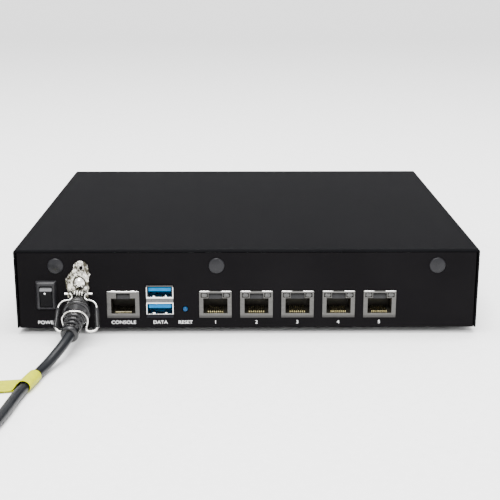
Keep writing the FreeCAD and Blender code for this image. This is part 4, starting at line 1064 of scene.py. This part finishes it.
def tag_grid():
    """The film as a grid: a path from tail to cord, round it and back, times its width."""
    middle = np.array([-96.1, 67.5])
    along = np.array([-0.19, 0.98])
    side = np.array([-0.98, -0.19])
    tail = np.linspace(TAG_TAIL, 3.2, 36)
    turn = np.radians(np.linspace(150, -150, 34))
    wrap = np.stack([-3.05 * np.cos(turn), 2.95 + 2.72 * np.sin(turn)], -1)
    blend = np.exp(-((tail - 2.6) / 1.7) ** 2)
    lift = 0.35 * np.sin(tail / TAG_TAIL * math.pi) + 0.55
    upper = np.stack([tail, lift + 0.30 + 3.4 * blend], -1)
    lower = np.stack([tail, lift + 0.8 * blend], -1)[::-1]
    path = np.concatenate([upper, wrap, lower])
    across = np.linspace(-TAG_WIDTH / 2, TAG_WIDTH / 2, 14)
    distance = path[:, 0][:, None]
    slide = across[None, :] + TAG_SKEW * np.maximum(distance - 3, 0)
    flat = (middle[None, None, :] + distance[:, :, None] * side[None, None, :]
            + slide[:, :, None] * along[None, None, :])
    curl = 0.3 * (across[None, :] / TAG_WIDTH * 2) ** 2 * np.clip((distance - 5) / 20, 0, 1)
    height = path[:, 1][:, None] + curl
    return placed(np.concatenate([flat, height[:, :, None]], axis=-1))


def film(name, grid, thickness):
    """A sheet from a grid of points, made solid by a Solidify of the thickness in mm."""
    rows, columns = grid.shape[:2]
    row = np.arange(rows - 1)[:, None]
    column = np.arange(columns - 1)[None, :]
    start = row * columns + column
    faces = np.stack([start, start + 1, start + columns + 1, start + columns], -1)
    sheet = add_mesh(name, grid.reshape(-1, 3), faces.reshape(-1, 4), smooth_angle=60)
    solid = sheet.modifiers.new("thickness", "SOLIDIFY")
    solid.thickness = thickness * MM
    solid.offset = 0.0
    return sheet


tag = film("flag_label", tag_grid(), 0.22)
finish_piece(tag, "appliance", "tag_yellow", "cord_tag")
dress(tag_film, tag)
print("label faces:", len(tag.data.polygons))

# %% [markdown]
# ## The far end of the lead
#
# The lead ends in a plain desktop adapter, whose two shells meet at a seam.  Only its strain
# relief is rounded; the rest keeps the frame's meshes and gets a finish.

# %% Adapter and lead
dress(tie_nylon, "coil_tie")
dress(adapter_black, "adapter_base", "adapter_lid")
relief = softened("adapter_strain_relief", 0.3, "plug_plastic")
dress(black_moulding, "adapter_inlet")
dress(boot_rubber, relief)
dress(jacket, lead)
place(*to_coil[0])

# %% [markdown]
# ## Desk and light
#
# A pale desk sweeps up behind the object.  One large soft box overhead does most of the work,
# a weaker one in front opens the panel, and the sky fills the rest.

# %% Desk and light
def desk():
    """A pale sheet that curves up far behind: floor, quarter round and wall in one grid."""
    angle = np.linspace(0, math.pi / 2, 12)
    profile = np.concatenate([[[-2.5, 0.0]], np.stack([2.0 + 0.8 * np.sin(angle),
                                                       0.8 - 0.8 * np.cos(angle)], -1),
                              [[2.8, 3.0]]])
    across = np.array([-3.5, 3.5])
    points = np.array([[x, y, z] for x in across for y, z in profile])
    count = len(profile)
    faces = [[step, step + count, step + count + 1, step + 1] for step in range(count - 1)]
    return add_mesh("desk", points, faces)


desk_white = moulded("desk_white", (0.86, 0.86, 0.86), (0.90, 0.90, 0.90), 0.6, 0.3, 0.01)
floor = desk()
dress(desk_white, floor)


def soft_box(name, where, aim, size, power):
    """A rectangular area light that stands at one point and looks at another."""
    light = bpy.data.lights.new(name, "AREA")
    light.shape = "RECTANGLE"
    light.size, light.size_y = size
    light.energy = power
    lamp = bpy.data.objects.new(name, light)
    lamp.location = where
    lamp.rotation_euler = (Vector(aim) - Vector(where)).to_track_quat("-Z", "Y").to_euler()
    bpy.context.collection.objects.link(lamp)
    return lamp


soft_box("overhead", (0.0, -0.05, 1.3), (0, 0, 0), (1.0, 0.8), 42)
soft_box("front", (-0.25, -1.25, 1.15), (0, -0.1, 0.02), (0.7, 0.5), 27)
world = bpy.data.worlds.new("sky")
world.use_nodes = True
world.node_tree.nodes["Background"].inputs["Color"].default_value = (1, 1, 1, 1)
world.node_tree.nodes["Background"].inputs["Strength"].default_value = 2.1
bpy.context.scene.world = world
print("lights set")
